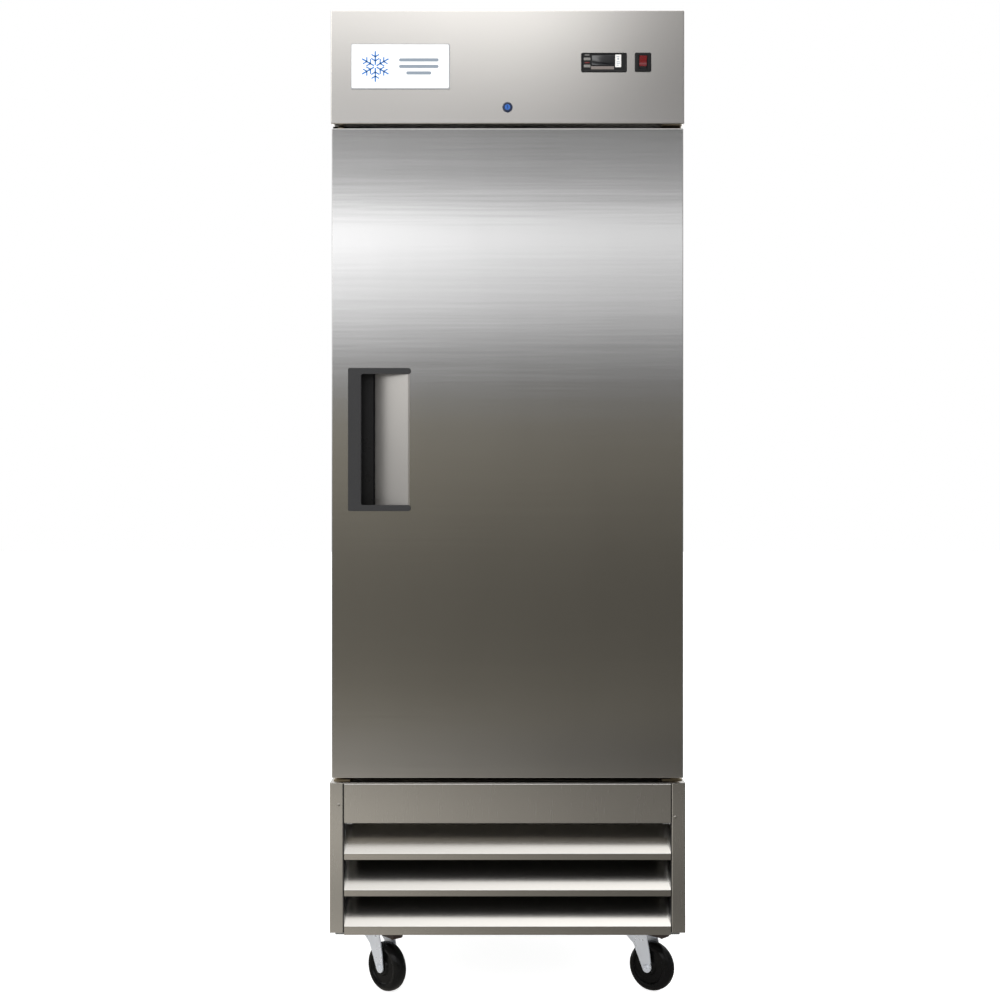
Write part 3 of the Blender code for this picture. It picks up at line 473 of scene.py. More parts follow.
def brushed(name, colour, grain, roughness, anisotropy, wave_mm=0.0, wave_size=(420, 420, 70),
            streak_mm=0.0, line_mm=0.0007, metal=1.0):
    """Sheet steel brushed along an axis: highlights spread across the grain, and no sheet is quite flat.

    The grain and the face's normal crossed give the tangent, so the highlight runs across the grain on
    any face. Waves, level bands and brush lines are bumps, each lying on the one before.
    """
    made, tree, shader = material(name, colour, metal, roughness, Anisotropic=anisotropy)
    # Real brush lines are under 0.1 mm apart; drawn at 1.2 mm so that they don't shimmer.
    size = [90.0 if axis == grain else 1.2 for axis in "XYZ"]
    lines = stretched_noise(tree, size, 3.0, 0.6)
    varied(tree, shader, lines.outputs["Fac"], roughness - 0.005, roughness + 0.005)
    # Handling and polish leave faint long clouds that make the steel less uniform.
    clouds = stretched_noise(tree, [300.0 if axis == grain else 120.0 for axis in "XYZ"], 2.0)
    tinted(tree, shader, clouds.outputs["Fac"], shaded(colour, 0.93), linear(colour))
    under = None
    if wave_mm:
        wave = stretched_noise(tree, wave_size, 1.5)
        under = relief(tree, shader, wave.outputs["Fac"], wave_mm)
    if streak_mm:
        # Rolling and the protective film leave low level bands across the sheet.
        streak = stretched_noise(tree, (800, 800, 24), 2.5, 0.6)
        under = relief(tree, shader, streak.outputs["Fac"], streak_mm, under)
    relief(tree, shader, lines.outputs["Fac"], line_mm, under)
    # The grain is set a little askew, so that the cross product never vanishes on a face square to it.
    direction = {"X": (1.0, 0.0, 0.012), "Z": (0.012, 0.0, 1.0)}[grain]
    line = node(tree, "ShaderNodeVectorTransform", {"Vector": direction}, vector_type="VECTOR",
                convert_from="OBJECT", convert_to="WORLD")
    face = node(tree, "ShaderNodeNewGeometry")
    across = node(tree, "ShaderNodeVectorMath", links={0: line.outputs["Vector"], 1: face.outputs["Normal"]},
                  operation="CROSS_PRODUCT")
    tree.links.new(across.outputs["Vector"], shader.inputs["Tangent"])
    return made


def galvanised(name):
    """Hot-dip zinc: spangles of about 9 mm, each a little lighter or duller than its neighbours."""
    made, tree, shader = material(name, "a4a8ab", 1.0, 0.42)
    grey = node(tree, "ShaderNodeSeparateColor", links={"Color": cells_of(tree, 9.0).outputs["Color"]})
    varied(tree, shader, grey.outputs["Red"], 0.38, 0.47)
    tinted(tree, shader, grey.outputs["Green"], linear("9a9ea1"), linear("aeb1b3"))
    return made


def plated(name, colour, roughness, metal=1.0):
    """Bright zinc on pressed steel: bluish, with soft clouds where the bath ran off."""
    made, tree, shader = material(name, colour, metal, roughness)
    clouds = stretched_noise(tree, (14, 14, 14), 3.0)
    varied(tree, shader, clouds.outputs["Fac"], roughness - 0.06, roughness + 0.10)
    relief(tree, shader, clouds.outputs["Fac"], 0.006)
    return made


def moulded(name, colour, roughness, grain_mm=0.7, depth_mm=0.010, **extra):
    """Injection-moulded plastic: a fine spark-eroded texture that breaks up the highlight."""
    made, tree, shader = material(name, colour, 0.0, roughness, **extra)
    # The real texture is near 0.2 mm; drawn coarser so that it doesn't shimmer.
    skin = stretched_noise(tree, (grain_mm,) * 3, 3.0)
    relief(tree, shader, skin.outputs["Fac"], depth_mm)
    wear = stretched_noise(tree, (35, 35, 35), 2.0)
    varied(tree, shader, wear.outputs["Fac"], roughness - 0.05, roughness + 0.07)
    return made


def enamelled(name, colour, roughness):
    """Sprayed enamel: a glossy coat with a slight orange peel."""
    made, tree, shader = material(name, colour, 0.0, roughness, Coat_Weight=0.6, Coat_Roughness=0.12)
    peel = stretched_noise(tree, (3.5, 3.5, 3.5), 1.0)
    relief(tree, shader, peel.outputs["Fac"], 0.05)
    varied(tree, shader, peel.outputs["Fac"], roughness - 0.04, roughness + 0.05)
    return made


def drawn_metal(name, colour, roughness):
    """Drawn tube or thin strip: fine lines and slight tarnish."""
    made, tree, shader = material(name, colour, 1.0, roughness)
    tarnish = stretched_noise(tree, (18, 18, 18), 3.0)
    tinted(tree, shader, tarnish.outputs["Fac"], shaded(colour, 0.72), linear(colour))
    varied(tree, shader, tarnish.outputs["Fac"], roughness, roughness + 0.15)
    return made


def foamed(name):
    """Poured polyurethane: open pinholes in a yellowish skin."""
    made, tree, shader = material(name, "d9c98f", 0.0, 0.9)
    pores = cells_of(tree, 4.0).outputs["Distance"]
    # The pinholes are tinted darker where the bump sinks them: painted shade.
    tinted(tree, shader, pores, linear("b9a56a"), linear("e3d6a4"))
    relief(tree, shader, pores, 0.3)
    return made


# Door sheet: upright brushing draws each highlight sideways, and level waves soften what the sheet mirrors.
DOOR_STEEL = brushed("stainless_door_brushed_upright", "cccbc9", "Z", 0.20, 0.90, 0.060, (420, 420, 70),
                     streak_mm=0.085)
# Header and louvers: a level brush, so that lights stretch up and down and the tone stays even along them.
HEADER_STEEL = brushed("stainless_header_brushed_level", "cdcac6", "X", 0.20, 0.30, 0.03, (500, 500, 120),
                       line_mm=0.0002)
BLADE_STEEL = brushed("stainless_blades_brushed_level", "c9c6c1", "X", 0.20, 0.35, line_mm=0.0001)
# Posts, fascia and body: the same steel, duller and flatter than the door.
BASE_STEEL = brushed("stainless_base_brushed_upright", "cac8c4", "Z", 0.27, 0.6, 0.02, line_mm=0.0001)
BODY_STEEL = brushed("stainless_body_brushed_upright", "c6c3be", "Z", 0.33, 0.7, 0.05)
# The cup is pressed and then blasted, which scatters light and keeps its slope even.
CUP_STEEL = brushed("stainless_cup_satin", "b4b1ad", "Z", 0.28, 0.6, line_mm=0.0002, metal=0.84)
# Liner: rolled aluminium, paler and softer than the steel.
LINER_METAL = brushed("aluminium_liner_rolled", "d3d5d6", "Z", 0.38, 0.5, 0.04)
# Tray, back and rear grille: grey zinc crystals the size of a fingernail.
ZINC_SHEET = galvanised("galvanised_sheet_spangled")
# Casters: bright, cold zinc that blurs what it mirrors.
ZINC_BRIGHT = plated("zinc_plate_bright", "e9edf4", 0.30, 0.62)
# Hinge brackets: passivated zinc, warm and straw coloured.
BRACKET_ZINC = plated("zinc_plate_yellowed", "b3a58c", 0.34)
# Screw heads: turned steel with a small sharp glint.
FASTENER = plated("stainless_fastener_turned", "b9b6b0", 0.28)
# Handle: soft black with a fine grain that turns a highlight into a haze.
BLACK_PLASTIC = moulded("abs_black_moulded", "2d2d2e", 0.42, Specular_IOR_Level=0.3)
# Bezels: polished black, with a narrow bright line along each rim. In the handle's pocket and on the rocker's
# lower half the same black is painted shade.
DARK_PLASTIC = moulded("abs_black_smooth", "141415", 0.30, depth_mm=0.004, Specular_IOR_Level=0.25)
# Fan blades: plain matt black.
BLADE_PLASTIC = moulded("polypropylene_fan_black", "222326", 0.40)
# Brake pedals: brownish black with a waxy sheen.
PEDAL_PLASTIC = moulded("nylon_pedal_dark", "2a1d19", 0.38)
# Printed band, key caps and legend strip of the controls: even satin prints, each in one tone.
BEZEL_BAND = moulded("bezel_band_brown_grey", "6c6460", 0.40, depth_mm=0.004)
KEY_GREY = moulded("key_caps_grey", "6f6d6a", 0.38)
STRIP_WHITE = moulded("legend_strip_white", "d3d2cf", 0.4, depth_mm=0.003)
# Badge: a glossy clean white face in a dull grey rim, its print flat against the face.
WHITE_FACE = moulded("badge_face_white_gloss", "f4f5f5", 0.22, depth_mm=0.003, Coat_Weight=0.5)
BADGE_RIM = moulded("badge_rim_grey", "9a9c9e", 0.35)
MARK_BLUE = moulded("badge_print_blue", "2f6fb3", 0.35, depth_mm=0.002)
MARK_GREY = moulded("print_grey", "7d8893", 0.45, depth_mm=0.002)
# Rocker: deep red that light enters a little, under a gloss; the slot's red is dull.
RED_PLASTIC = moulded("polycarbonate_red", "5f1316", 0.16, depth_mm=0.002, Subsurface_Weight=0.15,
                      Subsurface_Scale=0.002, Coat_Weight=0.5)
RED_DARK = moulded("key_slot_dark_red", "5b1512", 0.25, depth_mm=0.002)
# Lock: a glossy blue face in a nearly black blue ring.
BLUE_PLASTIC = moulded("lock_blue", "2456a0", 0.25, depth_mm=0.004, Coat_Weight=0.4)
BLUE_DARK = moulded("lock_ring_dark_blue", "16233d", 0.28, depth_mm=0.004)
# Display window: smoked acrylic, black with a mirror's shine.
LENS_PLASTIC = moulded("acrylic_window_dark", "0c0d10", 0.06, depth_mm=0.001, Coat_Weight=1.0)
# Filter: open black foam that swallows nearly all light; partly a real filter, partly painted shade behind
# the blades.
SHADE_FILTER_FOAM = moulded("filter_foam_painted_shade", "0a0a0a", 0.9, 2.5, 0.6, Specular_IOR_Level=0.1)
# Gasket: matt grey vinyl.
GASKET_VINYL = moulded("pvc_gasket_grey", "77787a", 0.55)
# Tyres: black rubber, polished by the floor where it curves.
TYRE_RUBBER = moulded("rubber_tyre_black", "0b0b0b", 0.24, 1.2, 0.012, Specular_IOR_Level=0.22)
# Shelves and guards: white dip coating, thick and smooth over the wire.
WIRE_COAT = enamelled("epoxy_coated_wire", "dcdedf", 0.34)
# Compressor and motors: black gloss with an orange peel. On the grille's end plates it is painted shade.
CAN_ENAMEL = enamelled("enamel_black_sprayed", "141416", 0.30)
# Pipes: copper, browned in patches.
COPPER = drawn_metal("copper_tube_drawn", "c98a5f", 0.28)
# Fins: thin bright aluminium.
FIN_METAL = drawn_metal("aluminium_fin_rolled", "d5d8da", 0.35)
# Insulation: straw-coloured foam with a pitted skin.
FOAM = foamed("polyurethane_poured")
# Lamp: frosted glass that spreads light under its surface.
LAMP_GLASS = material("glass_bulb_frosted", "f3f1ea", 0.0, 0.35, Subsurface_Weight=0.3,
                      Subsurface_Scale=0.01)[0]

# ---------------------------------------------------------------- small repeated parts


def screw(place, direction, radius=0.0035, height=0.0022):
    """A domed head with a countersunk recess."""
    seat = 0.001
    profile = [(0.0, height * 0.45), (radius * 0.34, height * 0.45), (radius * 0.42, height * 0.98),
               (radius * 0.62, height), (radius * 0.86, height * 0.72), (radius, height * 0.25),
               (radius, -seat), (0.0, -seat)]
    return placed(turned(profile, 16), toward(direction, place))


def hex_head(place, direction, across=0.010, height=0.0045):
    """A hexagon head on a washer, with its corners turned off."""
    washer = turned([(0.0, 0.0), (across * 0.66, 0.0), (across * 0.66, 0.0012), (0.0, 0.0012)], 18)
    head = turned([(0.0, height), (across * 0.46, height), (across * 0.57, height - 0.0006),
                   (across * 0.57, 0.001), (0.0, 0.001)], 6)
    matrix = toward(direction, place)
    return [placed(washer, matrix), placed(head, matrix)]


def fan_blades(radius, hub, depth, count, pitch):
    """Blades as thin wings: the chord is turned by a pitch that eases from hub to tip."""
    s = np.linspace(0, 1, 9)[:, None]
    t = np.linspace(0, 1, 8)
    reach = hub * 0.8 + (radius - hub * 0.8) * s
    chord = radius * (0.40 + 0.34 * np.sin(pi * (0.15 + 0.7 * s)))
    angle = pitch * (1.15 - 0.45 * s)
    upper, lower = np.sin(pi * t) * 0.0011 + 0.0003, -np.sin(pi * t[::-1]) * 0.0003 - 0.0003
    along = np.concatenate([t, t[::-1]])[None] - 0.5
    thick = np.concatenate([upper, lower])[None]
    camber = 0.10 * chord * (1 - 4 * along ** 2)
    sweep = 0.25 * s ** 2
    across = along * chord * np.cos(angle) - thick * np.sin(angle)
    height = along * chord * np.sin(angle) + thick * np.cos(angle) + camber * 0.35
    height = height * np.minimum(1.0, depth / 2 / abs(height).max())
    turn = across / reach + sweep
    points = np.stack([reach * np.cos(turn), reach * np.sin(turn), height], -1)
    blade, faces = grid(points, close_v=True)
    rows, columns = points.shape[:2]
    faces = faces + [list(range(columns)), list(range((rows - 1) * columns, rows * columns))]
    parts = [placed((blade, faces), Matrix.Rotation(2 * pi * i / count, 4, "Z")) for i in range(count)]
    half = depth / 2
    cap = [(0.0, half), (hub * 0.7, half), (hub * 0.93, half * 0.9), (hub, half * 0.7), (hub, -half * 0.9),
           (hub * 0.96, -half), (hub * 0.35, -half), (hub * 0.3, -half * 0.5), (0.0, -half * 0.5)]
    return parts + [turned(cap, 32)]


def fan_motor(length, radius):
    """A ribbed can with a bearing boss at each end, its shaft towards -Z."""
    step = np.linspace(0, 1, 25)
    ribs = radius * (1 - 0.05 * (np.arange(25) % 2))
    body = np.stack([ribs, length * (0.15 + 0.7 * step)], 1)
    shaft_end = [(0.0, -0.006), (0.004, -0.006), (0.004, 0.0), (radius * 0.45, 0.0),
                 (radius * 0.5, length * 0.1), (radius * 0.95, length * 0.12)]
    back_end = [(radius * 0.95, length * 0.88), (radius * 0.4, length * 0.9), (radius * 0.35, length),
                (0.0, length)]
    return turned(np.concatenate([shaft_end, body, back_end]), 28)


def coil(low, high, tube_axis, rows, layers, pitch, tube_radius=0.0042):
    """A finned coil: thin plates across the tubes, end plates, straight tubes and return bends.

    Rows and layers share the depth and height evenly. A return bend is half an ellipse between two
    neighbouring tubes, on alternate ends.
    """
    low, high = np.array(low, float), np.array(high, float)
    along = "XYZ".index(tube_axis)
    u, v = [axis for axis in range(3) if axis != along]
    bend = 0.018
    start, end = low[along] + bend, high[along] - bend
    outline = [(low[u], low[v]), (high[u], low[v]), (high[u], high[v]), (low[u], high[v])]
    fins = [extruded(outline, tube_axis, place - FIN_HALF, place + FIN_HALF)
            for place in np.arange(start + pitch, end - pitch / 2, pitch)]
    plates = []
    for place in (start, end):
        a, b = low.copy(), high.copy()
        a[along], b[along] = place - 0.0006, place + 0.0006
        plates.append(block(a, b, 0.0003, tube_axis))
    us = low[u] + (high[u] - low[u]) * (np.arange(rows) + 0.5) / rows
    vs = low[v] + (high[v] - low[v]) * (np.arange(layers) + 0.5) / layers
    tubes = []
    for i, at_u in enumerate(us):
        for j, at_v in enumerate(vs):
            line = np.empty((2, 3))
            line[:, u], line[:, v], line[:, along] = at_u, at_v, (start - 0.003, end + 0.003)
            tubes.append(tube(line, tube_radius, 10))
    swing = np.linspace(-pi / 2, pi / 2, 9)
    for i, at_u in enumerate(us):
        for j in range(layers - 1):
            side, way = ((end, 1) if (i + j) % 2 else (start, -1))
            half = (vs[j + 1] - vs[j]) / 2
            line = np.empty((9, 3))
            line[:, u] = at_u
            line[:, v] = vs[j] + half + half * np.sin(swing)
            line[:, along] = side + way * (0.003 + min(half, 0.0105) * np.cos(swing))
            tubes.append(tube(line, tube_radius, 10))
    return [*fins, *plates, *(coloured(part, 1) for part in tubes)]


# ---------------------------------------------------------------- door


def build_door():
    """The outer pan, its insulation, a liner with a raised field, the gasket and the handle."""
    formed("door_outer_pan", "door_skin", DOOR_STEEL, "door", 0.0019, THIN, ("+y",))
    keep_node("door_foam", FOAM)
    liner_low, liner_high = corners("door_liner")
    centre, half = flat_frame(liner_low, liner_high)
    back, rise = liner_low[1] + THIN, liner_high[1]
    # The liner lies flat for this far inside the gasket, then steps up to the raised field.
    field = 0.062
    stations = [(0.008, back - THIN), (0.0, back - THIN), (0.0, back - 0.0003), (0.0003, back),
                (field - 0.006, back), (field - 0.0016, back + 0.0008), (field - 0.0004, back + 0.0024),
                (field, rise - 0.0035), (field + 0.0005, rise - 0.0017), (field + 0.0017, rise - 0.0005),
                (field + 0.0035, rise)]
    piece("door_inner_liner", [pan(centre, half, 0.004, stations, "Y", 8)], [LINER_METAL], "door",
          ("door_liner",), 40)
    build_gasket()
    build_handle()


def build_gasket():
    """A dart, a bellows and a magnet pocket, carried round the door."""
    centre, half = flat_frame(GASKET_LOW, GASKET_HIGH)
    near, far = GASKET_LOW[1], GASKET_HIGH[1]
    deep = far - near
    section = [(0.004, near), (0.018, near), (0.0185, near + 0.12 * deep), (0.0165, near + 0.22 * deep),
               (0.0205, near + 0.36 * deep), (0.0218, near + 0.48 * deep), (0.0200, near + 0.58 * deep),
               (0.0215, near + 0.66 * deep), (0.0220, near + 0.90 * deep), (0.0210, far), (0.0010, far),
               (0.0, near + 0.90 * deep), (0.0006, near + 0.66 * deep), (0.0022, near + 0.58 * deep),
               (0.0004, near + 0.48 * deep), (0.0016, near + 0.36 * deep), (0.0056, near + 0.22 * deep),
               (0.0036, near + 0.12 * deep)]
    piece("door_gasket_bellows", [pan(centre, half, 0.003, section, "Y", 4, closed=True)], [GASKET_VINYL],
          "door", ("door_gasket",), 50)


def lining_of(line, thick, inner_bends, outer_bends):
    """Closed outline of a wall: a line with rounded corners, and the same line moved to its left."""
    return np.concatenate([rounded(line, inner_bends, 5),
                           rounded(offset(line, thick), outer_bends, 5)[::-1]])


def build_handle():
    """A U-shaped grip with two round-ended arms, over a pressed cup whose right side slants out."""
    left, right = GRIP_LOW[0], GRIP_HIGH[0]
    bottom, top = GRIP_LOW[2], GRIP_HIGH[2]
    # Width of the upright bar and of the two arms, whose free ends are half circles.
    bar, arm, face, back = 0.027, 0.0126, GRIP_LOW[1], FRONT - CLEAR
    tip = arm / 2
    swing = np.linspace(-pi / 2, pi / 2, 13)[:, None]
    ends = [np.concatenate([right - tip + tip * np.cos(swing), middle_z + tip * np.sin(swing)], 1)
            for middle_z in (bottom + tip, top - tip)]
    inner = rounded([(right - tip, bottom + arm), (left + bar, bottom + arm), (left + bar, top - arm),
                     (right - tip, top - arm)], 0.004, 6)
    outer = rounded([(right - tip, top), (left, top), (left, bottom), (right - tip, bottom)], 0.0035, 6)
    outline = np.concatenate([ends[0], inner[1:-1], ends[1], outer[1:-1]])
    plate = extruded(outline, "Y", face, back)
    deep = GRIP_HIGH[1]
    cup_left = CUP_LOW[0] + THIN + CLEAR
    wall, lip_front, lip_back = 0.004, face + 0.0030, FRONT + 0.004
    lip = rounded([(left + bar, lip_front), (left + bar, deep), (left + bar - wall, deep),
                   (left + bar - wall, lip_back), (cup_left, lip_back), (cup_left, lip_front)], 0.0012, 3)
    low, high = CUP_LOW[2] + THIN + CLEAR, CUP_HIGH[2] - THIN - CLEAR
    grip = extruded(lip, "Z", low, high)
    piece("handle_grip_moulding", [plate, grip], [BLACK_PLASTIC], "door", ("handle_grip",),
          edges=0.0013)

    floor = CUP_HIGH[1] - THIN
    x_left, x_right = CUP_LOW[0] + THIN, CUP_HIGH[0] - 0.00216
    # The cup's floor is flat as far as here, then slopes out to the door's face.
    slope_start = x_left + 0.0475
    line = [(x_left, FRONT + CLEAR), (x_left, floor), (slope_start, floor), (x_right, FRONT - CLEAR),
            (x_right + 0.0034, FRONT - CLEAR)]
    low, high = CUP_LOW[2] + THIN, CUP_HIGH[2] - THIN
    thick = THIN * 0.9
    outline = lining_of(line, thick, (0.003, 0.003, 0.001), (0.004, 0.004, 0.0005))
    ends = offset(line, thick)[:4]
    parts = [extruded(outline, "Z", low, high), extruded(ends, "Z", low - THIN, low),
             extruded(ends, "Z", high, high + THIN)]
    piece("handle_cup_pressing", parts, [CUP_STEEL], "door", ("handle_cup",), 30)
    # A black lining in the pocket under the bar: partly the moulding's own black, partly painted shade for
    # the deep pocket.
    pocket = [(x_left + 0.0004, FRONT + 0.014), (x_left + 0.0004, floor - 0.0004),
              (slope_start - 0.0012, floor - 0.0004), (slope_start + 0.0006, floor - 0.0034)]
    pocket_shade_lining = extruded(lining_of(pocket, 0.001, 0.0025, 0.002), "Z", low + 0.0005, high - 0.0005)
    piece("handle_pocket_shade_lining", [pocket_shade_lining], [DARK_PLASTIC], "door", (), 40)


# ---------------------------------------------------------------- header and its controls


def build_header():
    """The folded cover with the badge, the thermostat, the power switch and the lock."""
    formed("header_cover_pan", "header_cover", HEADER_STEEL, "cabinet", 0.0024, SHEET, ("+y",))
    build_badge()
    build_thermostat()
    build_switch()
    build_lock()


def build_badge():
    """A white plate in a grey rim, with a plain six-armed crystal and three bars in place of any mark."""
    low, high = corners("badge_plate")
    (x, z), half = flat_frame(low, high)
    near, far = low[1], high[1]
    stations = [(0.0003, far), (0.0, far - 0.0003), (0.0, near + 0.0008), (0.0004, near + 0.0003),
                (0.0010, near + 0.0001), (0.0016, near + 0.0002), (0.0022, near + 0.0006)]
    rim = pan((x, z), half, 0.003, stations, "Y", 6)
    face = pan((x - 0.0006, z + 0.0006), (half[0] - 0.0022, half[1] - 0.0022), 0.002,
               [(0.0, near + 0.0010), (0.0, near + 0.00030), (0.0004, near + 0.00012)], "Y", 6)
    print_depth = (near + 0.0003, near + 0.00004)
    crystal = []
    centre = (x - 0.052, z)
    for arm in range(6):
        spoke = [(0.0030, -0.0016), (0.031, -0.0016), (0.0325, 0.0), (0.031, 0.0016), (0.0030, 0.0016)]
        branches = []
        for reach, length in ((0.0115, 0.0085), (0.0200, 0.0080)):
            for side in (-1, 1):
                a, b = np.array([reach, 0.0]), np.array([reach + length * 0.62, side * length])
                way = (b - a) / np.linalg.norm(b - a)
                across = np.array([-way[1], way[0]]) * 0.0014
                branches.append(np.array([a - across, b - across, b + across, a + across]))
        angle = pi / 6 + arm * pi / 3
        turn = np.array([[cos(angle), -sin(angle)], [sin(angle), cos(angle)]])
        crystal += [coloured(extruded(np.asarray(line) @ turn.T + centre, "Y", *print_depth), 2)
                    for line in (spoke, *branches)]
    bars = [coloured(pan((x + 0.038, z + shift), (width / 2, 0.0034), 0.0033,
                         [(0.0, print_depth[0]), (0.0, print_depth[1])], "Y", 5), 3)
            for shift, width in ((0.0135, 0.082), (0.0, 0.082), (-0.0135, 0.052))]
    piece("badge_plate_printed", [rim, coloured(face, 1), *crystal, *bars],
          [BADGE_RIM, WHITE_FACE, MARK_BLUE, MARK_GREY], "cabinet", ("badge_plate",))


def inlay(centre, size, corner, near, far, edge=0.0):
    """A small raised or printed shape on a face: a rounded rectangle of half sizes between two depths."""
    return pan(centre, size, corner, slab(far, near, 0.0, edge), "Y", 4)


def build_thermostat():
    """A moulded bezel and deck round a dark window, two keys, a printed band, a legend strip, and a grey bar
    that is a painted highlight.
    """
    low, high = corners("thermostat_housing")
    near = low[1]
    (x, z), half = flat_frame(low, high)
    flange = FRONT - CLEAR
    lens_low, lens_high = corners("thermostat_lens")
    lens, lens_half = flat_frame(lens_low, lens_high)
    rim = [(0.0, flange), (0.0, near + 0.0009), (0.0004, near + 0.0002), (0.0012, near),
           (0.0020, near + 0.0002), (0.0026, near + 0.0010), (0.0034, near + 0.0012), (0.0034, flange)]
    bezel = pan((x, z), half, 0.0035, rim, "Y", 6, closed=True)
    keys = [corners("thermostat_button_up"), corners("thermostat_button_down")]
    key_left, key_right = keys[0][0][0] - CLEAR, keys[0][1][0] + CLEAR
    us = [x - half[0] + 0.003, key_left, key_right, x + half[0] - 0.003]
    vs = [z - half[1] + 0.003, keys[1][0][2] - CLEAR, keys[1][1][2] + CLEAR, keys[0][0][2] - CLEAR,
          keys[0][1][2] + CLEAR, z + half[1] - 0.003]
    keep = np.ones((3, 5), bool)
    keep[1, 1] = keep[1, 3] = False
    deck = perforated(us, vs, keep, near + 0.0013, flange, "Y")
    body_half = (0.088 / 2, 0.030 / 2)
    body_ring = sleeve((x, z), body_half, 0.002, FRONT + 0.0025, high[1], 0.0015)
    back = pan((x, z), body_half, 0.002, slab(high[1] - 0.0016, high[1], 0.0, 0.0006), "Y", 3)
    band_z = lens_low[2] - 0.0052
    seat, edge = near + 0.0014, 0.0002
    band = coloured(inlay((lens[0] - 0.001, band_z), (lens_half[0] + 0.001, 0.0032), 0.001,
                          near + 0.0007, seat, edge), 1)
    strip_x, strip_z = lens_high[0] + 0.0085, z + 0.0030
    strip = coloured(inlay((strip_x, strip_z), (0.0062, 0.0130), 0.001, near + 0.0008, seat, edge), 2)
    marks = [coloured(inlay((strip_x + dx, strip_z + dz), (w / 2, h / 2), min(w, h) * 0.45,
                            near + 0.0007, near + 0.0009), 3)
             for dx, dz, w, h in ((-0.0006, 0.0085, 0.0062, 0.0014), (0.0, 0.0040, 0.0034, 0.0034),
                                  (0.0, -0.0020, 0.0070, 0.0012), (0.0, -0.0052, 0.0070, 0.0012),
                                  (-0.0010, -0.0090, 0.0048, 0.0012))]
    # The grey bar stands for the light caught on the upper key: a painted highlight, not a lamp.
    lamp = coloured(inlay((x - 0.035, z + 0.0152), (0.0050, 0.0010), 0.0009, near + 0.0008, seat, edge), 4)
    slot = coloured(inlay((x - 0.035, z - 0.0006), (0.0052, 0.0013), 0.0010, near + 0.0008, seat, edge), 5)
    piece("thermostat_bezel", [bezel, deck, body_ring, back, band, strip, *marks, lamp, slot],
          [DARK_PLASTIC, BEZEL_BAND, STRIP_WHITE, MARK_GREY, KEY_GREY, RED_DARK], "cabinet",
          ("thermostat_housing",))
    glass = pan(lens, lens_half, 0.0012, slab(lens_high[1], near, 0.0, 0.0004), "Y", 5)
    piece("thermostat_window", [glass], [LENS_PLASTIC], "cabinet", ("thermostat_lens",))
    for (key_low, key_high), name in zip(keys, ("up", "down")):
        stations = slab(key_high[1], key_low[1], 0.0, 0.0008, 4)
        cap = pan(*flat_frame(key_low, key_high), 0.0012, stations, "Y", 5)
        piece(f"thermostat_key_{name}", [cap], [KEY_GREY], f"button_{name}", (f"thermostat_button_{name}",))


def build_switch():
    """A bezel with a rectangular hole, and in it a dished rocker, red above and black below as painted shade.
    """
    low, high = corners("switch_housing")
    (x, z), half = flat_frame(low, high)
    near, flange = low[1], FRONT - CLEAR
    width, edge, gap = 0.0155 / 2, 0.0135, 0.0012
    hole = (width + gap, edge + gap)
    bezel = pan((x, z), half, 0.0030, [(0.0, flange), (0.0, near + 0.0010), (0.0005, near + 0.0002),
                                       (0.0014, near), (0.0040, near), (0.0040, flange)], "Y", 6, closed=True)
    us = [x - half[0] + 0.0035, x - hole[0], x + hole[0], x + half[0] - 0.0035]
    vs = [z - half[1] + 0.0035, z - hole[1], z + hole[1], z + half[1] - 0.0035]
    keep = np.ones((3, 3), bool)
    keep[1, 1] = False
    plate = perforated(us, vs, keep, near + 0.00004, flange, "Y")
    body_half = (0.014, 0.017)
    body = sleeve((x, z), body_half, 0.001, FRONT + 0.0025, high[1] - 0.002, 0.0014)
    back = pan((x, z), body_half, 0.001, slab(high[1] - 0.003, high[1], 0.0, 0.0005), "Y", 3)
    piece("switch_bezel", [bezel, plate, body, back], [DARK_PLASTIC], "cabinet", ("switch_housing",))
    tilt = Matrix.Translation((x, FRONT, z)) @ Matrix.Rotation(radians(10), 4, "X")
    # The face is a hollow: its depth grows with the 1.6th power of the way from its middle.
    depth = np.linspace(-1, 1, 21)
    face = -0.0022 - 0.0018 * np.abs(depth) ** 1.6
    upper = [(f, edge * d) for f, d in zip(face, depth) if d >= -0.62]
    lower = [(f, edge * d) for f, d in zip(face, depth) if d <= -0.52]
    join = upper[0]
    root = 0.0075
    red = [join, *upper[1:], (0.0, edge), (root, edge / 2), (root, join[1])]
    black = [*lower[:-1], (lower[-2][0], join[1]), (root, join[1]), (root, -edge / 2), (0.0, -edge)]
    # The black lower part is painted shade, for the shadow on the pressed-in lower half of the tilted rocker.
    parts = [placed(extruded(red, "X", -width, width), tilt),
             coloured(placed(extruded(black, "X", -width, width), tilt), 1)]
    piece("switch_rocker_red_shaded_below", parts, [RED_PLASTIC, DARK_PLASTIC], "rocker", ("switch_rocker",),
          edges=0.0006)


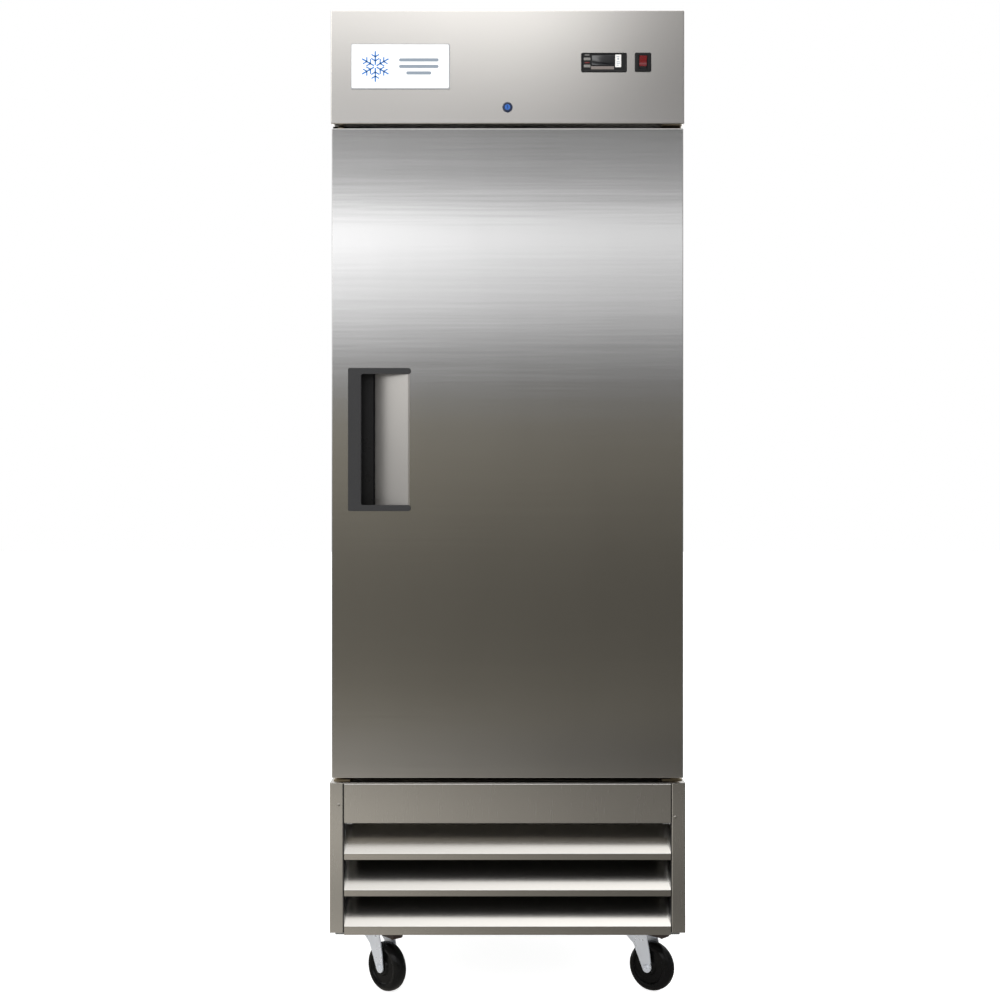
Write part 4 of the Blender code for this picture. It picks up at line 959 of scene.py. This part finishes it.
def build_lock():
    """A turned barrel with a threaded tail, its plug, and the cam arm clamped on the plug's tail."""
    barrel_low, barrel_high = corners("lock_barrel")
    centre = (barrel_low + barrel_high) / 2
    inner, outer = 0.0063, (barrel_high[0] - barrel_low[0]) / 2
    profile = [(inner, 0.0024), (inner + 0.0006, 0.0030), (outer - 0.0022, 0.0030), (outer - 0.0008, 0.0026),
               (outer, 0.0016), (outer, CLEAR), (0.009, CLEAR), (0.009, -0.024), (inner, -0.024)]
    at = toward("-Y", (centre[0], FRONT, centre[2]))
    thread = [(0.009 + (0.0 if i % 2 else 0.0002), -0.003 - 0.0008 * i) for i in range(24)]
    ring = placed(turned(profile[:7] + thread + profile[7:], 36, closed=True), at)
    piece("lock_barrel_turned", [ring], [BLUE_DARK], "cabinet", ("lock_barrel",))
    keep_node("lock_plug", BLUE_PLASTIC, 0.0004)
    low, high = corners("lock_plug")
    cover, thick = 0.00015, 0.003
    cam = block((low[0] - cover, high[1] - thick - cover, low[2] - cover),
                (high[0] + cover, high[1] + cover, high[2] + cover), 0.0008, "Y")
    clamp = screw((centre[0], high[1] + cover, centre[2]), "+Y", 0.0042, 0.0022)
    piece("lock_cam_arm", [cam, clamp], [ZINC_BRIGHT], "lock_cylinder", ())


# ---------------------------------------------------------------- base


def build_base():
    """Folded sides, deck, tray, grille frame with its blades, a black filter that is partly painted shade,
    and rear grille.
    """
    # Each side is a channel: a post in front whose inner edge is turned back, the wall, and a rear flange.
    inner, outer = 0.340, SIDE_HIGH[0]
    for name, sign in (("left", -1), ("right", 1)):
        line = [(inner, FRONT + 0.018), (inner, FRONT), (outer, FRONT), (outer, BACK), (inner, BACK)]
        outline = folded(line, 0.0022, SHEET) * (sign, 1)
        near_x, far_x = sorted((sign * inner, sign * (outer - SHEET)))
        foot = block((near_x, FRONT + SHEET, SIDE_LOW[2]), (far_x, BACK - SHEET, SIDE_LOW[2] + SHEET),
                     0.0003, "Z")
        side = extruded(outline, "Z", SIDE_LOW[2], SIDE_HIGH[2])
        piece(f"base_side_{name}_folded", [side, foot], [BASE_STEEL], "cabinet", (f"base_side_{name}",),
              30)
    # One small head on each post, each at its own height.
    studs = [screw((-0.3497, FRONT - 0.0001, 0.412), "-Y", 0.0031, 0.0016),
             screw((0.3468, FRONT - 0.0001, 0.387), "-Y", 0.0031, 0.0016)]
    piece("base_post_screws", studs, [FASTENER], "cabinet", ())

    deck_low, deck_high = corners("base_deck")
    deck = block(deck_low, deck_high, 0.0006, "Z")
    piece("base_deck_plate", [deck], [BLADE_STEEL], "cabinet", ("base_deck",), 30)
    keep_node("base_tray", ZINC_SHEET, 0.0004)

    deep = GRILLE_HIGH[1]
    top = GRILLE_HIGH[2]
    fascia_bottom = top - 0.0822
    face_half = GRILLE_HIGH[0] - SHEET - CLEAR
    line = [(deep, top), (FRONT, top), (FRONT, fascia_bottom), (FRONT + 0.018, fascia_bottom)]
    parts = [extruded(folded(line, 0.0022, SHEET), "X", -face_half, face_half)]
    # The end plates are black enamel: painted shade for the dark triangles at the ends of the blades.
    for sign in (-1, 1):
        a, b = sorted((sign * (GRILLE_HIGH[0] - SHEET), sign * GRILLE_HIGH[0]))
        parts.append(coloured(block((a, FRONT + 0.0024, GRILLE_LOW[2]), (b, deep, top), 0.0004, "X"), 1))
    piece("grille_frame_fascia", parts, [BASE_STEEL, CAN_ENAMEL], "cabinet", ("grille_frame",),
          30)

    # A blade is a short upright lip in front and a slope that rises as it runs back.
    for name in ("louver_top", "louver_middle", "louver_bottom"):
        low, high = corners(name)
        rise, run = 0.052, 0.050
        lip_top = high[2] - rise
        line = [(FRONT + run, high[2]), (FRONT, lip_top), (FRONT, low[2])]
        blade = extruded(folded(line, 0.0024, SHEET), "X", low[0], high[0])
        piece(f"{name}_blade", [blade], [BLADE_STEEL], "cabinet", (name,), 30)

    # A foam filter in a rod frame stands between the blades and the condenser; its black is partly painted
    # shade for the tops of the blades.
    filter_half = 0.325
    filter_low = (-filter_half, deep + 0.002, GRILLE_LOW[2] + 0.012)
    filter_high = (filter_half, deep + 0.010, top - 0.012)
    pad = block(filter_low, filter_high, 0.003, "Y")
    hoop = rounded_loop(filter_half, (filter_high[2] - filter_low[2]) / 2, 0.014, 5)
    hoop = along_axis(hoop + (0.0, (filter_low[2] + filter_high[2]) / 2), filter_low[1] - 0.001, "Y")
    rod = coloured(tube(hoop, 0.0016, 8, closed=True), 1)
    piece("condenser_filter_painted_shade", [pad, rod], [SHADE_FILTER_FOAM, CAN_ENAMEL], "cabinet", (), 40)

    keep_node("rear_grille", ZINC_SHEET, 0.0004)
    keep_node("cord_gland", BLACK_PLASTIC, 0.0004)
    rear_face = corners("rear_grille")[1][1]
    screws = [screw((x, rear_face, z), "+Y") for x in (-0.315, 0.315) for z in (0.175, 0.30, 0.43)]
    piece("rear_grille_screws", screws, [FASTENER], "cabinet", ())


# ---------------------------------------------------------------- cabinet and inside


def build_cabinet():
    """Wrapper, back panel with its screws, insulation, face frame, liner, pilasters and shelves."""
    low, high = corners("outer_shell")
    wrapper = sleeve(*flat_frame(low, high), 0.0024, low[1], high[1], SHEET, 6)
    piece("cabinet_wrapper", [wrapper], [BODY_STEEL], "cabinet", ("outer_shell",), 30)
    keep_node("back_panel", ZINC_SHEET, 0.0004)
    keep_node("cabinet_foam", FOAM)
    keep_node("face_frame", BODY_STEEL, 0.0003)
    keep_node("inner_liner", LINER_METAL, 0.0004)
    # Screws round the back panel: along both sides, and one in the middle of its top and bottom edges.
    xs, zs = (-0.35, 0.0, 0.35), (0.475, 0.86, 1.25, 1.65, 2.04)
    screws = [screw((x, BACK - 0.0019, z), "+Y", 0.0035, 0.0018)
              for x in xs for z in zs if x or z in (zs[0], zs[-1])]
    piece("back_panel_screws", screws, [FASTENER], "cabinet", ())
    build_pilasters()
    build_shelves()


def build_pilasters():
    """Slotted strips with two bent clips at each shelf."""
    levels = [corners(f"shelf_{name}")[0][2] for name in ("lower", "middle", "upper")]
    for row in ("front", "rear"):
        for side, sign in (("left", -1), ("right", 1)):
            node_name = f"pilaster_{row}_{side}"
            low, high = corners(node_name)
            wall = low[0] if sign < 0 else high[0]
            inner = wall - sign * 0.005
            y = (low[1] + high[1]) / 2
            slot, pitch = 0.012, 0.025
            count = int((high[2] - low[2] - 0.02) / pitch)
            starts = low[2] + 0.015 + pitch * np.arange(count)
            us = [low[1], y - 0.0040, y + 0.0040, high[1]]
            vs = np.concatenate([[low[2]], np.stack([starts, starts + slot], 1).reshape(-1), [high[2]]])
            keep = np.ones((3, len(vs) - 1), bool)
            keep[1, 1::2] = False
            strip = perforated(us, vs, keep, inner, inner + sign * SHEET, "X")
            near_x, far_x = sorted((wall, inner))
            flanges = [block((near_x, a, low[2]), (far_x, a + SHEET, high[2]), 0.0003, "Z")
                       for a in (low[1], high[1] - SHEET)]
            clips = []
            for level in levels:
                line = [(inner + sign * 0.002, level - 0.0042), (inner - sign * 0.0005, level - 0.0042),
                        (inner - sign * 0.0035, level - 0.0012), (inner - sign * 0.012, level - 0.0012)]
                section = np.concatenate([rounded(line, 0.0008, 3),
                                          rounded(offset(line, 0.0008 * sign), 0.0008, 3)[::-1]])
                clips.append(extruded(section, "Y", y - 0.007, y + 0.007))
            piece(f"{node_name}_slotted", [strip, *flanges, *clips], [BASE_STEEL], "cabinet", (node_name,))


def build_shelves():
    """A wire shelf: a rim, three carriers under it and close wires front to back."""
    for name in ("lower", "middle", "upper"):
        low, high = corners(f"shelf_{name}")
        rim, fine = 0.0029, 0.0016
        a, b = low[0] + rim, high[0] - rim
        c, d = low[1] + rim, high[1] - rim
        loop = rounded_loop((b - a) / 2, (d - c) / 2, 0.012, 6) + ((a + b) / 2, (c + d) / 2)
        loop = np.concatenate([loop, np.full((len(loop), 1), low[2] + rim)], 1)
        parts = [tube(loop, rim, 10, closed=True)]
        for y in np.linspace(c, d, 5)[1:-1]:
            parts.append(tube([(a, y, low[2] + rim), (b, y, low[2] + rim)], rim * 0.8, 8))
        for x in np.linspace(a, b, 27)[1:-1]:
            parts.append(tube([(x, c - 0.001, high[2] - fine), (x, d + 0.001, high[2] - fine)], fine, 8))
        piece(f"shelf_{name}_wires", parts, [WIRE_COAT], "cabinet", (f"shelf_{name}",), 50)


# ---------------------------------------------------------------- hinges


def build_hinges():
    """The two brackets, the blanking brackets opposite them and the screws."""
    keep_node("hinge_bracket_top", BRACKET_ZINC, 0.0006)
    keep_node("hinge_bracket_bottom", BRACKET_ZINC, 0.0006)
    top_high = corners("hinge_bracket_top")[1]
    bottom_low, bottom_high = corners("hinge_bracket_bottom")
    # The holes for hanging the door on the other side carry blanking brackets.
    rear = bottom_high[1]
    for name, z, left, width in (("top", DOOR_HIGH[2] + 0.003, DOOR_LOW[0] + 0.012, 0.010),
                                 ("bottom", bottom_low[2], DOOR_LOW[0] + 0.002, 0.034)):
        leaf = block((left, FRONT + 0.020, z), (left + width, rear, z + 0.003), 0.0006, "Z")
        upright = block((left, rear - 0.003, z), (left + width, rear, z + 0.020), 0.0006, "Z")
        piece(f"hinge_blank_{name}", [leaf, upright], [BRACKET_ZINC], "cabinet", ())
    heads = [screw((x, corner[1] - 0.003, corner[2] - 0.0075), "-Y", 0.0032, 0.0018)
             for x in (0.334, 0.352) for corner in (bottom_high, top_high)]
    piece("hinge_screws", heads, [FASTENER], "cabinet", ())


# ---------------------------------------------------------------- refrigeration


def ring_guard(centre, radius, depth, axis_way, rings, spokes, wire=0.0012):
    """Concentric wire rings on straight spokes, about an axis."""
    angle = np.linspace(0, 2 * pi, 40, endpoint=False)
    parts = []
    for r in np.linspace(radius * 0.22, radius, rings):
        line = np.stack([r * np.cos(angle), r * np.sin(angle), np.full(40, depth)], 1)
        parts.append(tube(line, wire, 6, closed=True))
    for turn in np.arange(spokes) * 2 * pi / spokes:
        line = [(r * cos(turn), r * sin(turn), depth - wire * 1.6) for r in (radius * 0.20, radius * 1.01)]
        parts.append(tube(line, wire * 1.3, 6))
    matrix = toward(axis_way, centre)
    return [placed(part, matrix) for part in parts]


def build_evaporator():
    """Under the cabinet's ceiling: a hood with its fan, guard and coil, and the lamp."""
    formed("evaporator_hood", "evaporator_cover", LINER_METAL, "cabinet", 0.0024, SHEET,
           ("+z",))
    centre = middle("evaporator_fan")
    fan_low, fan_high = corners("evaporator_fan")
    radius = (fan_high[0] - fan_low[0]) / 2
    at = Matrix.Translation([float(c) for c in centre])
    blades = [placed(part, at) for part in fan_blades(radius * 0.985, 0.020, 0.030, 5, radians(30))]
    piece("evaporator_fan_blades", blades, [BLADE_PLASTIC], "evaporator_blades", ("evaporator_fan",),
          40)
    motor = placed(fan_motor(0.050, 0.030), Matrix.Translation((centre[0], centre[1], centre[2] + 0.022)))
    strap_top = centre[2] + 0.045
    strap = ((0.028, strap_top), (0.105, strap_top), (0.108, HOOD_LOW[2] + SHEET))
    straps = [tube([(centre[0] + reach * cos(a), centre[1] + reach * sin(a), z) for reach, z in strap],
                   0.0020, 8) for a in (radians(30), radians(150), radians(270))]
    piece("evaporator_fan_motor", [motor, *straps], [CAN_ENAMEL], "cabinet", (), 40)
    guard = ring_guard((centre[0], centre[1], HOOD_LOW[2]), 0.088, 0.0030, "-Z", 6, 6)
    piece("evaporator_fan_guard", guard, [WIRE_COAT], "cabinet", (), 60)
    piece("evaporator_coil_finned", coil(*corners("evaporator_coil"), "X", 6, 4, 0.009), [FIN_METAL, COPPER],
          "cabinet", ("evaporator_coil",), 40)
    screws = [screw((x, y, HOOD_LOW[2] + 0.0004), "-Z", 0.0036, 0.0022)
              for x in (HOOD_LOW[0] + 0.02, HOOD_HIGH[0] - 0.02)
              for y in (HOOD_LOW[1] + 0.02, HOOD_HIGH[1] - 0.02)]
    piece("evaporator_hood_screws", screws, [FASTENER], "cabinet", ())
    at = toward("-Z", (0.190, centre[1], HOOD_LOW[2]))
    socket = turned([(0.0, 0.0), (0.017, 0.0), (0.0175, 0.003), (0.0175, 0.018), (0.0160, 0.022),
                     (0.0, 0.022)], 28)
    bulb = turned([(0.0, 0.020), (0.011, 0.022), (0.0125, 0.027), (0.0175, 0.036), (0.0195, 0.046),
                   (0.0180, 0.056), (0.0125, 0.064), (0.0060, 0.0675), (0.0, 0.068)], 28)
    piece("interior_lamp", [placed(socket, at), coloured(placed(bulb, at), 1)], [WIRE_COAT, LAMP_GLASS],
          "cabinet", (), 40)


def build_condensing_unit():
    """In the base: condenser coil and fan, compressor on its feet, pipes and drain pan."""
    low, high = corners("condenser_coil")
    piece("condenser_coil_finned", coil(low, high, "X", 3, 9, 0.006), [FIN_METAL, COPPER], "cabinet",
          ("condenser_coil",), 40)
    centre = middle("condenser_fan")
    fan_low, fan_high = corners("condenser_fan")
    radius = (fan_high[0] - fan_low[0]) / 2
    at = toward("+Y", centre)
    blades = [placed(part, at) for part in fan_blades(radius * 0.985, 0.026, 0.034, 4, radians(30))]
    piece("condenser_fan_blades", blades, [BLADE_PLASTIC], "condenser_blades", ("condenser_fan",),
          40)
    motor = placed(fan_motor(0.055, 0.034), toward("+Y", (centre[0], centre[1] + 0.024, centre[2])))
    leg = ((0.030, centre[2] - 0.012), (0.060, centre[2] - 0.060), (0.060, TRAY_TOP + 0.003),
           (0.100, TRAY_TOP + 0.003))
    foot = [tube(rounded([(centre[0] + side * x, centre[1] + 0.050, z) for x, z in leg], 0.008, 4), 0.0028, 8)
            for side in (-1, 1)]
    piece("condenser_fan_motor", [motor, *foot], [CAN_ENAMEL], "cabinet", (), 40)

    # The can is two pressings welded at a belt, its radius r and height h taken from the CAD node.
    can_low, can_high = corners("compressor")
    x, y = (can_low[0] + can_high[0]) / 2, (can_low[1] + can_high[1]) / 2
    r, h = (can_high[0] - can_low[0]) / 2 / 1.05, can_high[2] - can_low[2]
    shape = rounded([(0.0, 0.0), (0.93 * r, 0.0), (r, 0.09 * h), (r, 0.462 * h), (1.045 * r, 0.472 * h),
                     (1.045 * r, 0.508 * h), (r, 0.518 * h), (0.97 * r, 0.76 * h), (0.80 * r, 0.91 * h),
                     (0.48 * r, 0.985 * h), (0.0, h)],
                    (0.006, 0.010, 0.001, 0.001, 0.001, 0.001, 0.030, 0.030, 0.030), 4)
    dome = placed(turned(shape, 48), Matrix.Translation((x, y, can_low[2])))
    seat, foot_ring = TRAY_TOP, 0.088
    rubber = turned([(0.0, 0.0), (0.012, 0.0), (0.012, 0.005), (0.009, 0.007), (0.012, 0.009),
                     (0.012, 0.013), (0.0, 0.013)], 20)
    stud = turned([(0.0, 0.0), (0.004, 0.0), (0.004, 0.006), (0.0, 0.006)], 12)
    feet = []
    for angle in (45, 135, 225, 315):
        cx, cy = x + foot_ring * cos(radians(angle)), y + foot_ring * sin(radians(angle))
        feet += [coloured(placed(rubber, Matrix.Translation((cx, cy, seat + 0.0004))), 1),
                 placed(stud, Matrix.Translation((cx, cy, seat + 0.0134)))]
    plate_half = (0.082, 0.082)
    plate = pan((x, y), plate_half, 0.014, slab(seat + 0.0136, seat + 0.0160, 0.0004, 0.0004), "Z", 5)
    box = pan((y, can_low[2] + 0.55 * h), (0.026, 0.032), 0.004,
              slab(x - r - 0.030, x - 0.9 * r, 0.003, 0.0), "X", 5)
    over, below_deck = can_low[2] + 1.02 * h, corners("base_deck")[0][2] - 0.002
    hot_line = [(x + 0.6 * r, y - 0.4 * r, can_low[2] + 0.80 * h), (x + 0.9 * r, y - 0.5 * r, over),
                (x + 0.9 * r, low[1] + 0.06, over), (low[0] - 0.010, low[1] + 0.06, over),
                (low[0] - 0.010, low[1] + 0.022, high[2] - 0.03),
                (low[0] + 0.004, low[1] + 0.022, high[2] - 0.03)]
    cold_line = [(x, y + 0.80 * r, can_low[2] + 0.62 * h), (x, y + 1.25 * r, can_low[2] + 0.62 * h),
                 (x, y + 1.25 * r, below_deck)]
    pipes = [coloured(tube(rounded(line, bend, steps), radius, sides), 2)
             for line, bend, steps, radius, sides in ((hot_line, 0.012, 5, 0.0032, 10),
                                                      (cold_line, 0.016, 6, 0.0048, 12))]
    piece("compressor_can", [dome, plate, box, *feet, *pipes], [CAN_ENAMEL, TYRE_RUBBER, COPPER], "cabinet",
          ("compressor",), 40)
    # The drain pan stands beside the compressor: a shallow dish with a sloping wall.
    dish_centre, dish_half = (0.14, 0.22), (0.14, 0.10)
    dish = pan(dish_centre, dish_half, 0.012,
               [(0.010, seat + 0.0010), (0.005, seat + 0.0012), (0.0, seat + 0.038), (0.0, seat + 0.040),
                (0.0016, seat + 0.040), (0.0066, seat + 0.0030), (0.012, seat + 0.0026)], "Z", 6)
    piece("drain_pan", [dish], [BLACK_PLASTIC], "cabinet", (), 40)


# ---------------------------------------------------------------- casters


def build_caster(corner):
    """A bolted plate with its bearing race; a pressed fork with its rivets; a wheel; a pedal in front.

    Fork, wheel and pedal are drawn heading along X about the swivel axis, then turned to their heading.
    """
    low, high = corners(f"caster_mount_{corner}")
    (x, y), half = flat_frame(low, high, "Z")
    at = Matrix.Translation((x, y, 0.0))
    top, under = high[2], high[2] - 0.003
    plate = pan((x, y), half, 0.006, slab(under, top, 0.0005, 0.0005), "Z", 5)
    race = placed(turned([(0.0, CROWN_TOP + CLEAR), (0.0235, CROWN_TOP + CLEAR), (0.0240, CROWN_TOP + 0.0010),
                          (0.0240, CROWN_TOP + 0.0050), (0.0215, CROWN_TOP + 0.0072), (0.0190, under),
                          (0.0, under)], 32), at)
    bolts = [part for sx in (-1, 1) for sy in (-1, 1)
             for part in hex_head((x + sx * 0.036, y + sy * 0.024, under), "-Z")]
    piece(f"caster_plate_{corner}", [plate, race, *bolts], [ZINC_BRIGHT], "cabinet",
          (f"caster_mount_{corner}",))

    turn = at @ Matrix.Rotation(radians(HEADINGS[corner]), 4, "Z")
    # Half the fork's inside width, its sheet, the eye round the axle, and half the length of its top.
    inner, sheet = 0.0185, 0.003
    eye, top_half = 0.011, 0.0310
    swing = radians(195) + radians(27.5) * np.linspace(0, 6, 19)
    tip = np.stack([TRAIL + eye * np.cos(swing), WHEEL_RADIUS + eye * np.sin(swing)], 1)
    neck = rounded([(-top_half, CROWN_TOP), (-top_half, CROWN_TOP - 0.010), (0.002, 0.098), tip[0]], 0.013, 5)
    nape = rounded([tip[-1], (0.043, 0.082), (top_half + 0.004, CROWN_TOP - 0.018),
                    (top_half + 0.004, CROWN_TOP)], 0.012, 5)
    cheek = np.concatenate([neck[:-1], tip, nape[1:]])
    parts = [extruded(cheek, "Y", side * inner, side * (inner + sheet)) for side in (-1, 1)]
    # Radius and drop below the crown's top: the crown, then the head of its kingpin.
    crown = [(0.0, 0.003), (0.0262, 0.003), (0.027, 0.0024), (0.027, 0.0008), (0.0262, 0.0), (0.0, 0.0)]
    kingpin = [(0.0, 0.0075), (0.0050, 0.0075), (0.0085, 0.0060), (0.0095, 0.0035), (0.0095, 0.002),
               (0.0, 0.002)]
    parts += [turned([(r, CROWN_TOP - drop) for r, drop in profile], sides)
              for profile, sides in ((crown, 36), (kingpin, 24))]
    # Half of the axle, from the middle of one rolled head outward; the other half mirrors it.
    reach = inner + sheet
    head = [(0.0, 0.0012), (0.0022, 0.0012), (0.0030, 0.0028), (0.0046, 0.0030), (0.0068, 0.0018),
            (0.0072, 0.0), (0.004, 0.0)]
    axle = [(r, -reach - h) for r, h in head] + [(r, reach + h) for r, h in head[::-1]]
    hub_axis = toward("-Y", (TRAIL, 0.0, WHEEL_RADIUS))
    parts.append(placed(turned(axle, 24), hub_axis))
    parts = [placed(part, turn) for part in parts]
    piece(f"caster_fork_{corner}_pressed", parts, [ZINC_BRIGHT], f"fork_{corner}", (f"caster_fork_{corner}",),
          edges=0.0006)

    # Radius and place across the wheel: bore, hub, dished web, rim step and the crowned tread.
    radius, half = WHEEL_RADIUS, 0.016
    section = [(0.0046, -half), (0.0130, -half), (0.0160, -half + 0.0008), (0.0185, -half + 0.0042),
               (0.0340, -half + 0.0050), (0.0362, -half + 0.0030), (0.0370, -half + 0.0006), (0.0382, -half),
               (0.0432, -half), (0.0446, -half + 0.0010), (0.0475, -half + 0.0028), (0.0500, -half + 0.0058),
               (0.0514, -half + 0.0090), (radius, -half + 0.0120)]
    section = section + [(r, -h) for r, h in section[::-1]]
    wheel = placed(turned(section, 72, closed=True), hub_axis)
    piece(f"caster_wheel_{corner}_moulded", [placed(wheel, turn)], [TYRE_RUBBER], f"wheel_{corner}",
          (f"caster_wheel_{corner}",), 30)

    if corner.startswith("front"):
        # A rocking pedal over the wheel, thicker at its toe, with three ribs across its top.
        at = turn @ Matrix.Translation((0.032, 0.0, CROWN_TOP - 0.010))
        outline = rounded([(-0.004, -0.003), (0.002, -0.0066), (0.030, -0.0078), (0.036, -0.0098),
                           (0.0398, -0.006), (0.0398, 0.0055), (0.032, 0.0086), (0.0, 0.0058),
                           (-0.004, 0.003)], 0.003, 3)
        pedal = [extruded(outline, "Y", -0.0128, 0.0128)]
        ribs = [block((0.010 + 0.006 * i, -0.0105, 0.0058), (0.0125 + 0.006 * i, 0.0105, 0.0080 + 0.0003 * i),
                      0.0006, "Z") for i in range(3)]
        piece(f"caster_brake_{corner}_pedal", [placed(part, at) for part in pedal + ribs], [PEDAL_PLASTIC],
              f"brake_{corner}", (f"caster_brake_{corner}",), edges=0.0006)


# ---------------------------------------------------------------- studio


def lit_card(name, low, high, depth, facing, stops_at, tint="ffffff"):
    """A card that only reflections see; stops_at gives (place, radiance) along its two directions."""
    points = along_axis(np.stack(np.meshgrid([low[0], high[0]], [low[1], high[1]], indexing="ij"), -1),
                        np.full((2, 2), depth), facing)
    part = grid(points)
    mesh = bpy.data.meshes.new(name)
    mesh.from_pydata(part[0], [], part[1])
    made = bpy.data.materials.new(name)
    made.use_nodes = True
    tree = made.node_tree
    tree.nodes.remove(tree.nodes["Principled BSDF"])
    out = tree.nodes["Material Output"]
    glow = node(tree, "ShaderNodeEmission", {"Color": linear(tint)})
    tree.links.new(glow.outputs["Emission"], out.inputs["Surface"])
    place = node(tree, "ShaderNodeTexCoord")
    split = node(tree, "ShaderNodeSeparateXYZ", links={"Vector": place.outputs["Object"]})
    levels = []
    for axis, start, end, stops in zip({"X": "YZ", "Y": "XZ", "Z": "XY"}[facing], low, high, stops_at):
        way = node(tree, "ShaderNodeMapRange", {"From Min": start, "From Max": end},
                   {"Value": split.outputs[axis]})
        curve = node(tree, "ShaderNodeFloatCurve", links={"Value": way.outputs["Result"]})
        line = curve.mapping.curves[0]
        peak = max(level for _, level in stops)
        spots = [((at - start) / (end - start), level / peak) for at, level in stops]
        line.points[0].location, line.points[-1].location = spots[0], spots[-1]
        for spot in spots[1:-1]:
            line.points.new(*spot)
        curve.mapping.update()
        levels.append(node(tree, "ShaderNodeMath", {1: peak}, {0: curve.outputs["Value"]},
                           operation="MULTIPLY"))
    level = node(tree, "ShaderNodeMath", links={0: levels[0].outputs[0], 1: levels[1].outputs[0]},
                 operation="MULTIPLY")
    tree.links.new(level.outputs[0], glow.inputs["Strength"])
    mesh.materials.append(made)
    card = linked(name, mesh)
    card.visible_camera = card.visible_diffuse = card.visible_shadow = False


# The room that the steel mirrors, as cards. Up a card: (height, radiance). Across it: (place, factor).
CARD_Y = FRONT - 4.1
WALL_SPLIT = 1.49
LOW_UP = ((0.0, 0.21), (0.25, 0.13), (0.60, 0.115), (1.04, 0.165), (1.27, 0.20), (WALL_SPLIT, 0.21))
HIGH_UP = ((WALL_SPLIT, 0.21), (1.62, 0.27), (1.80, 0.58), (1.98, 1.00), (2.07, 1.00), (2.16, 1.28),
           (2.27, 1.70), (2.35, 1.10), (2.43, 0.50), (2.70, 0.50))
WALL_ACROSS = ((-4.5, 1.9), (-0.85, 1.50), (0.0, 1.0), (0.85, 0.85), (4.5, 0.6))
UPPER_UP = ((2.70, 0.06), (2.84, 0.26), (3.06, 1.33), (3.60, 2.30), (5.0, 1.9))
UPPER_ACROSS = ((-4.5, 0.7), (-0.85, 0.80), (0.0, 1.0), (0.35, 0.80), (0.85, 0.22), (4.5, 0.02))
APRON_ALONG = ((CARD_Y, 0.17), (-2.9, 0.20), (-2.5, 0.52), (-2.0, 0.40), (-1.5, 0.22), (-1.1, 0.24),
               (-0.7, 0.36), (-0.45, 0.25), (BACK, 0.04))
APRON_ACROSS = ((-4.5, 3.2), (-0.6, 1.9), (0.0, 1.0), (0.6, 0.55), (4.5, 0.1))
FLANK_LEFT_UP = ((0.0, 0.25), (0.95, 0.42), (1.15, 0.60), (1.40, 1.00), (1.60, 1.40), (3.5, 1.10))
FLANK_RIGHT_UP = ((0.0, 0.30), (1.0, 0.25), (2.0, 0.45), (3.5, 0.80))
FLANK_ALONG = ((-4.5, 0.9), (-1.6, 1.0), (-0.6, 0.45), (0.4, 0.6), (3.0, 1.0))


def softbox(name, place, aim, size, power):
    """A rectangular area light at a place, turned so that its -Z points at its aim."""
    light = bpy.data.lights.new(name, "AREA")
    light.shape, light.size, light.size_y, light.energy = "RECTANGLE", size[0], size[1], power
    lamp = linked(name, light)
    lamp.location = place
    way = np.array(aim, float) - np.array(place, float)
    lamp.rotation_euler = (np.arctan2(np.hypot(way[0], way[1]), -way[2]), 0.0,
                           np.arctan2(way[0], -way[1]) + pi)


def build_studio():
    """A pale floor in an even white world, the cards that the steel mirrors, two softboxes, the camera."""
    scene = bpy.context.scene
    scene.view_settings.view_transform = "Standard"
    world = bpy.data.worlds.new("studio")
    scene.world = world
    world.use_nodes = True
    sky = world.node_tree.nodes["Background"].inputs
    sky["Color"].default_value, sky["Strength"].default_value = (1, 1, 1, 1), 1.0

    floor_mesh = bpy.data.meshes.new("floor")
    floor_mesh.from_pydata([(x, y, -0.0005) for x, y in ((-30, -30), (30, -30), (30, 30), (-30, 30))], [],
                           [(0, 1, 2, 3)])
    # Matt floor that glows a little, so that it stays nearly white under the cards.
    floor_finish = material("floor_pale_vinyl", "ffffff", 0.0, 0.7, Emission_Color=(1, 1, 1, 1),
                            Emission_Strength=0.8)[0]
    floor_mesh.materials.append(floor_finish)
    floor = linked("floor", floor_mesh)
    lit_card("wall_low", (-4.5, 0.0), (4.5, WALL_SPLIT), CARD_Y, "Y", (WALL_ACROSS, LOW_UP), "fff6e0")
    lit_card("wall_high", (-4.5, WALL_SPLIT), (4.5, 2.70), CARD_Y, "Y", (WALL_ACROSS, HIGH_UP), "fbfcff")
    lit_card("wall_above", (-4.5, 2.70), (4.5, 5.0), CARD_Y, "Y", (UPPER_ACROSS, UPPER_UP))
    lit_card("floor_apron", (-4.5, CARD_Y), (4.5, BACK), 0.002, "Z", (APRON_ACROSS, APRON_ALONG), "fff9ee")
    lit_card("flank_left", (-4.5, 0.0), (3.0, 3.5), -3.0, "X", (FLANK_ALONG, FLANK_LEFT_UP))
    lit_card("flank_right", (-4.5, 0.0), (3.0, 3.5), 3.0, "X", (FLANK_ALONG, FLANK_RIGHT_UP))
    softbox("softbox_upper_left", (-2.2, -3.2, 3.4), (0.0, 0.0, 1.1), (1.6, 1.6), 12)
    softbox("softbox_overhead", (0.3, -2.0, 4.0), (0.0, 0.0, 0.8), (2.4, 1.2), 12)

    lens = bpy.data.cameras.new("camera")
    lens.sensor_width, lens.lens = 36.0, 60.87
    lens.shift_x = -0.0075
    lens.dof.use_dof = False
    camera = linked("camera", lens)
    camera.location = (0.0, FRONT - 3.5, 1.0435)
    camera.rotation_euler = (pi / 2, 0.0, 0.0)
    scene.camera = camera


build_cabinet()
build_door()
build_header()
build_hinges()
build_base()
build_evaporator()
build_condensing_unit()
for each in CORNER_NAMES:
    build_caster(each)
build_studio()
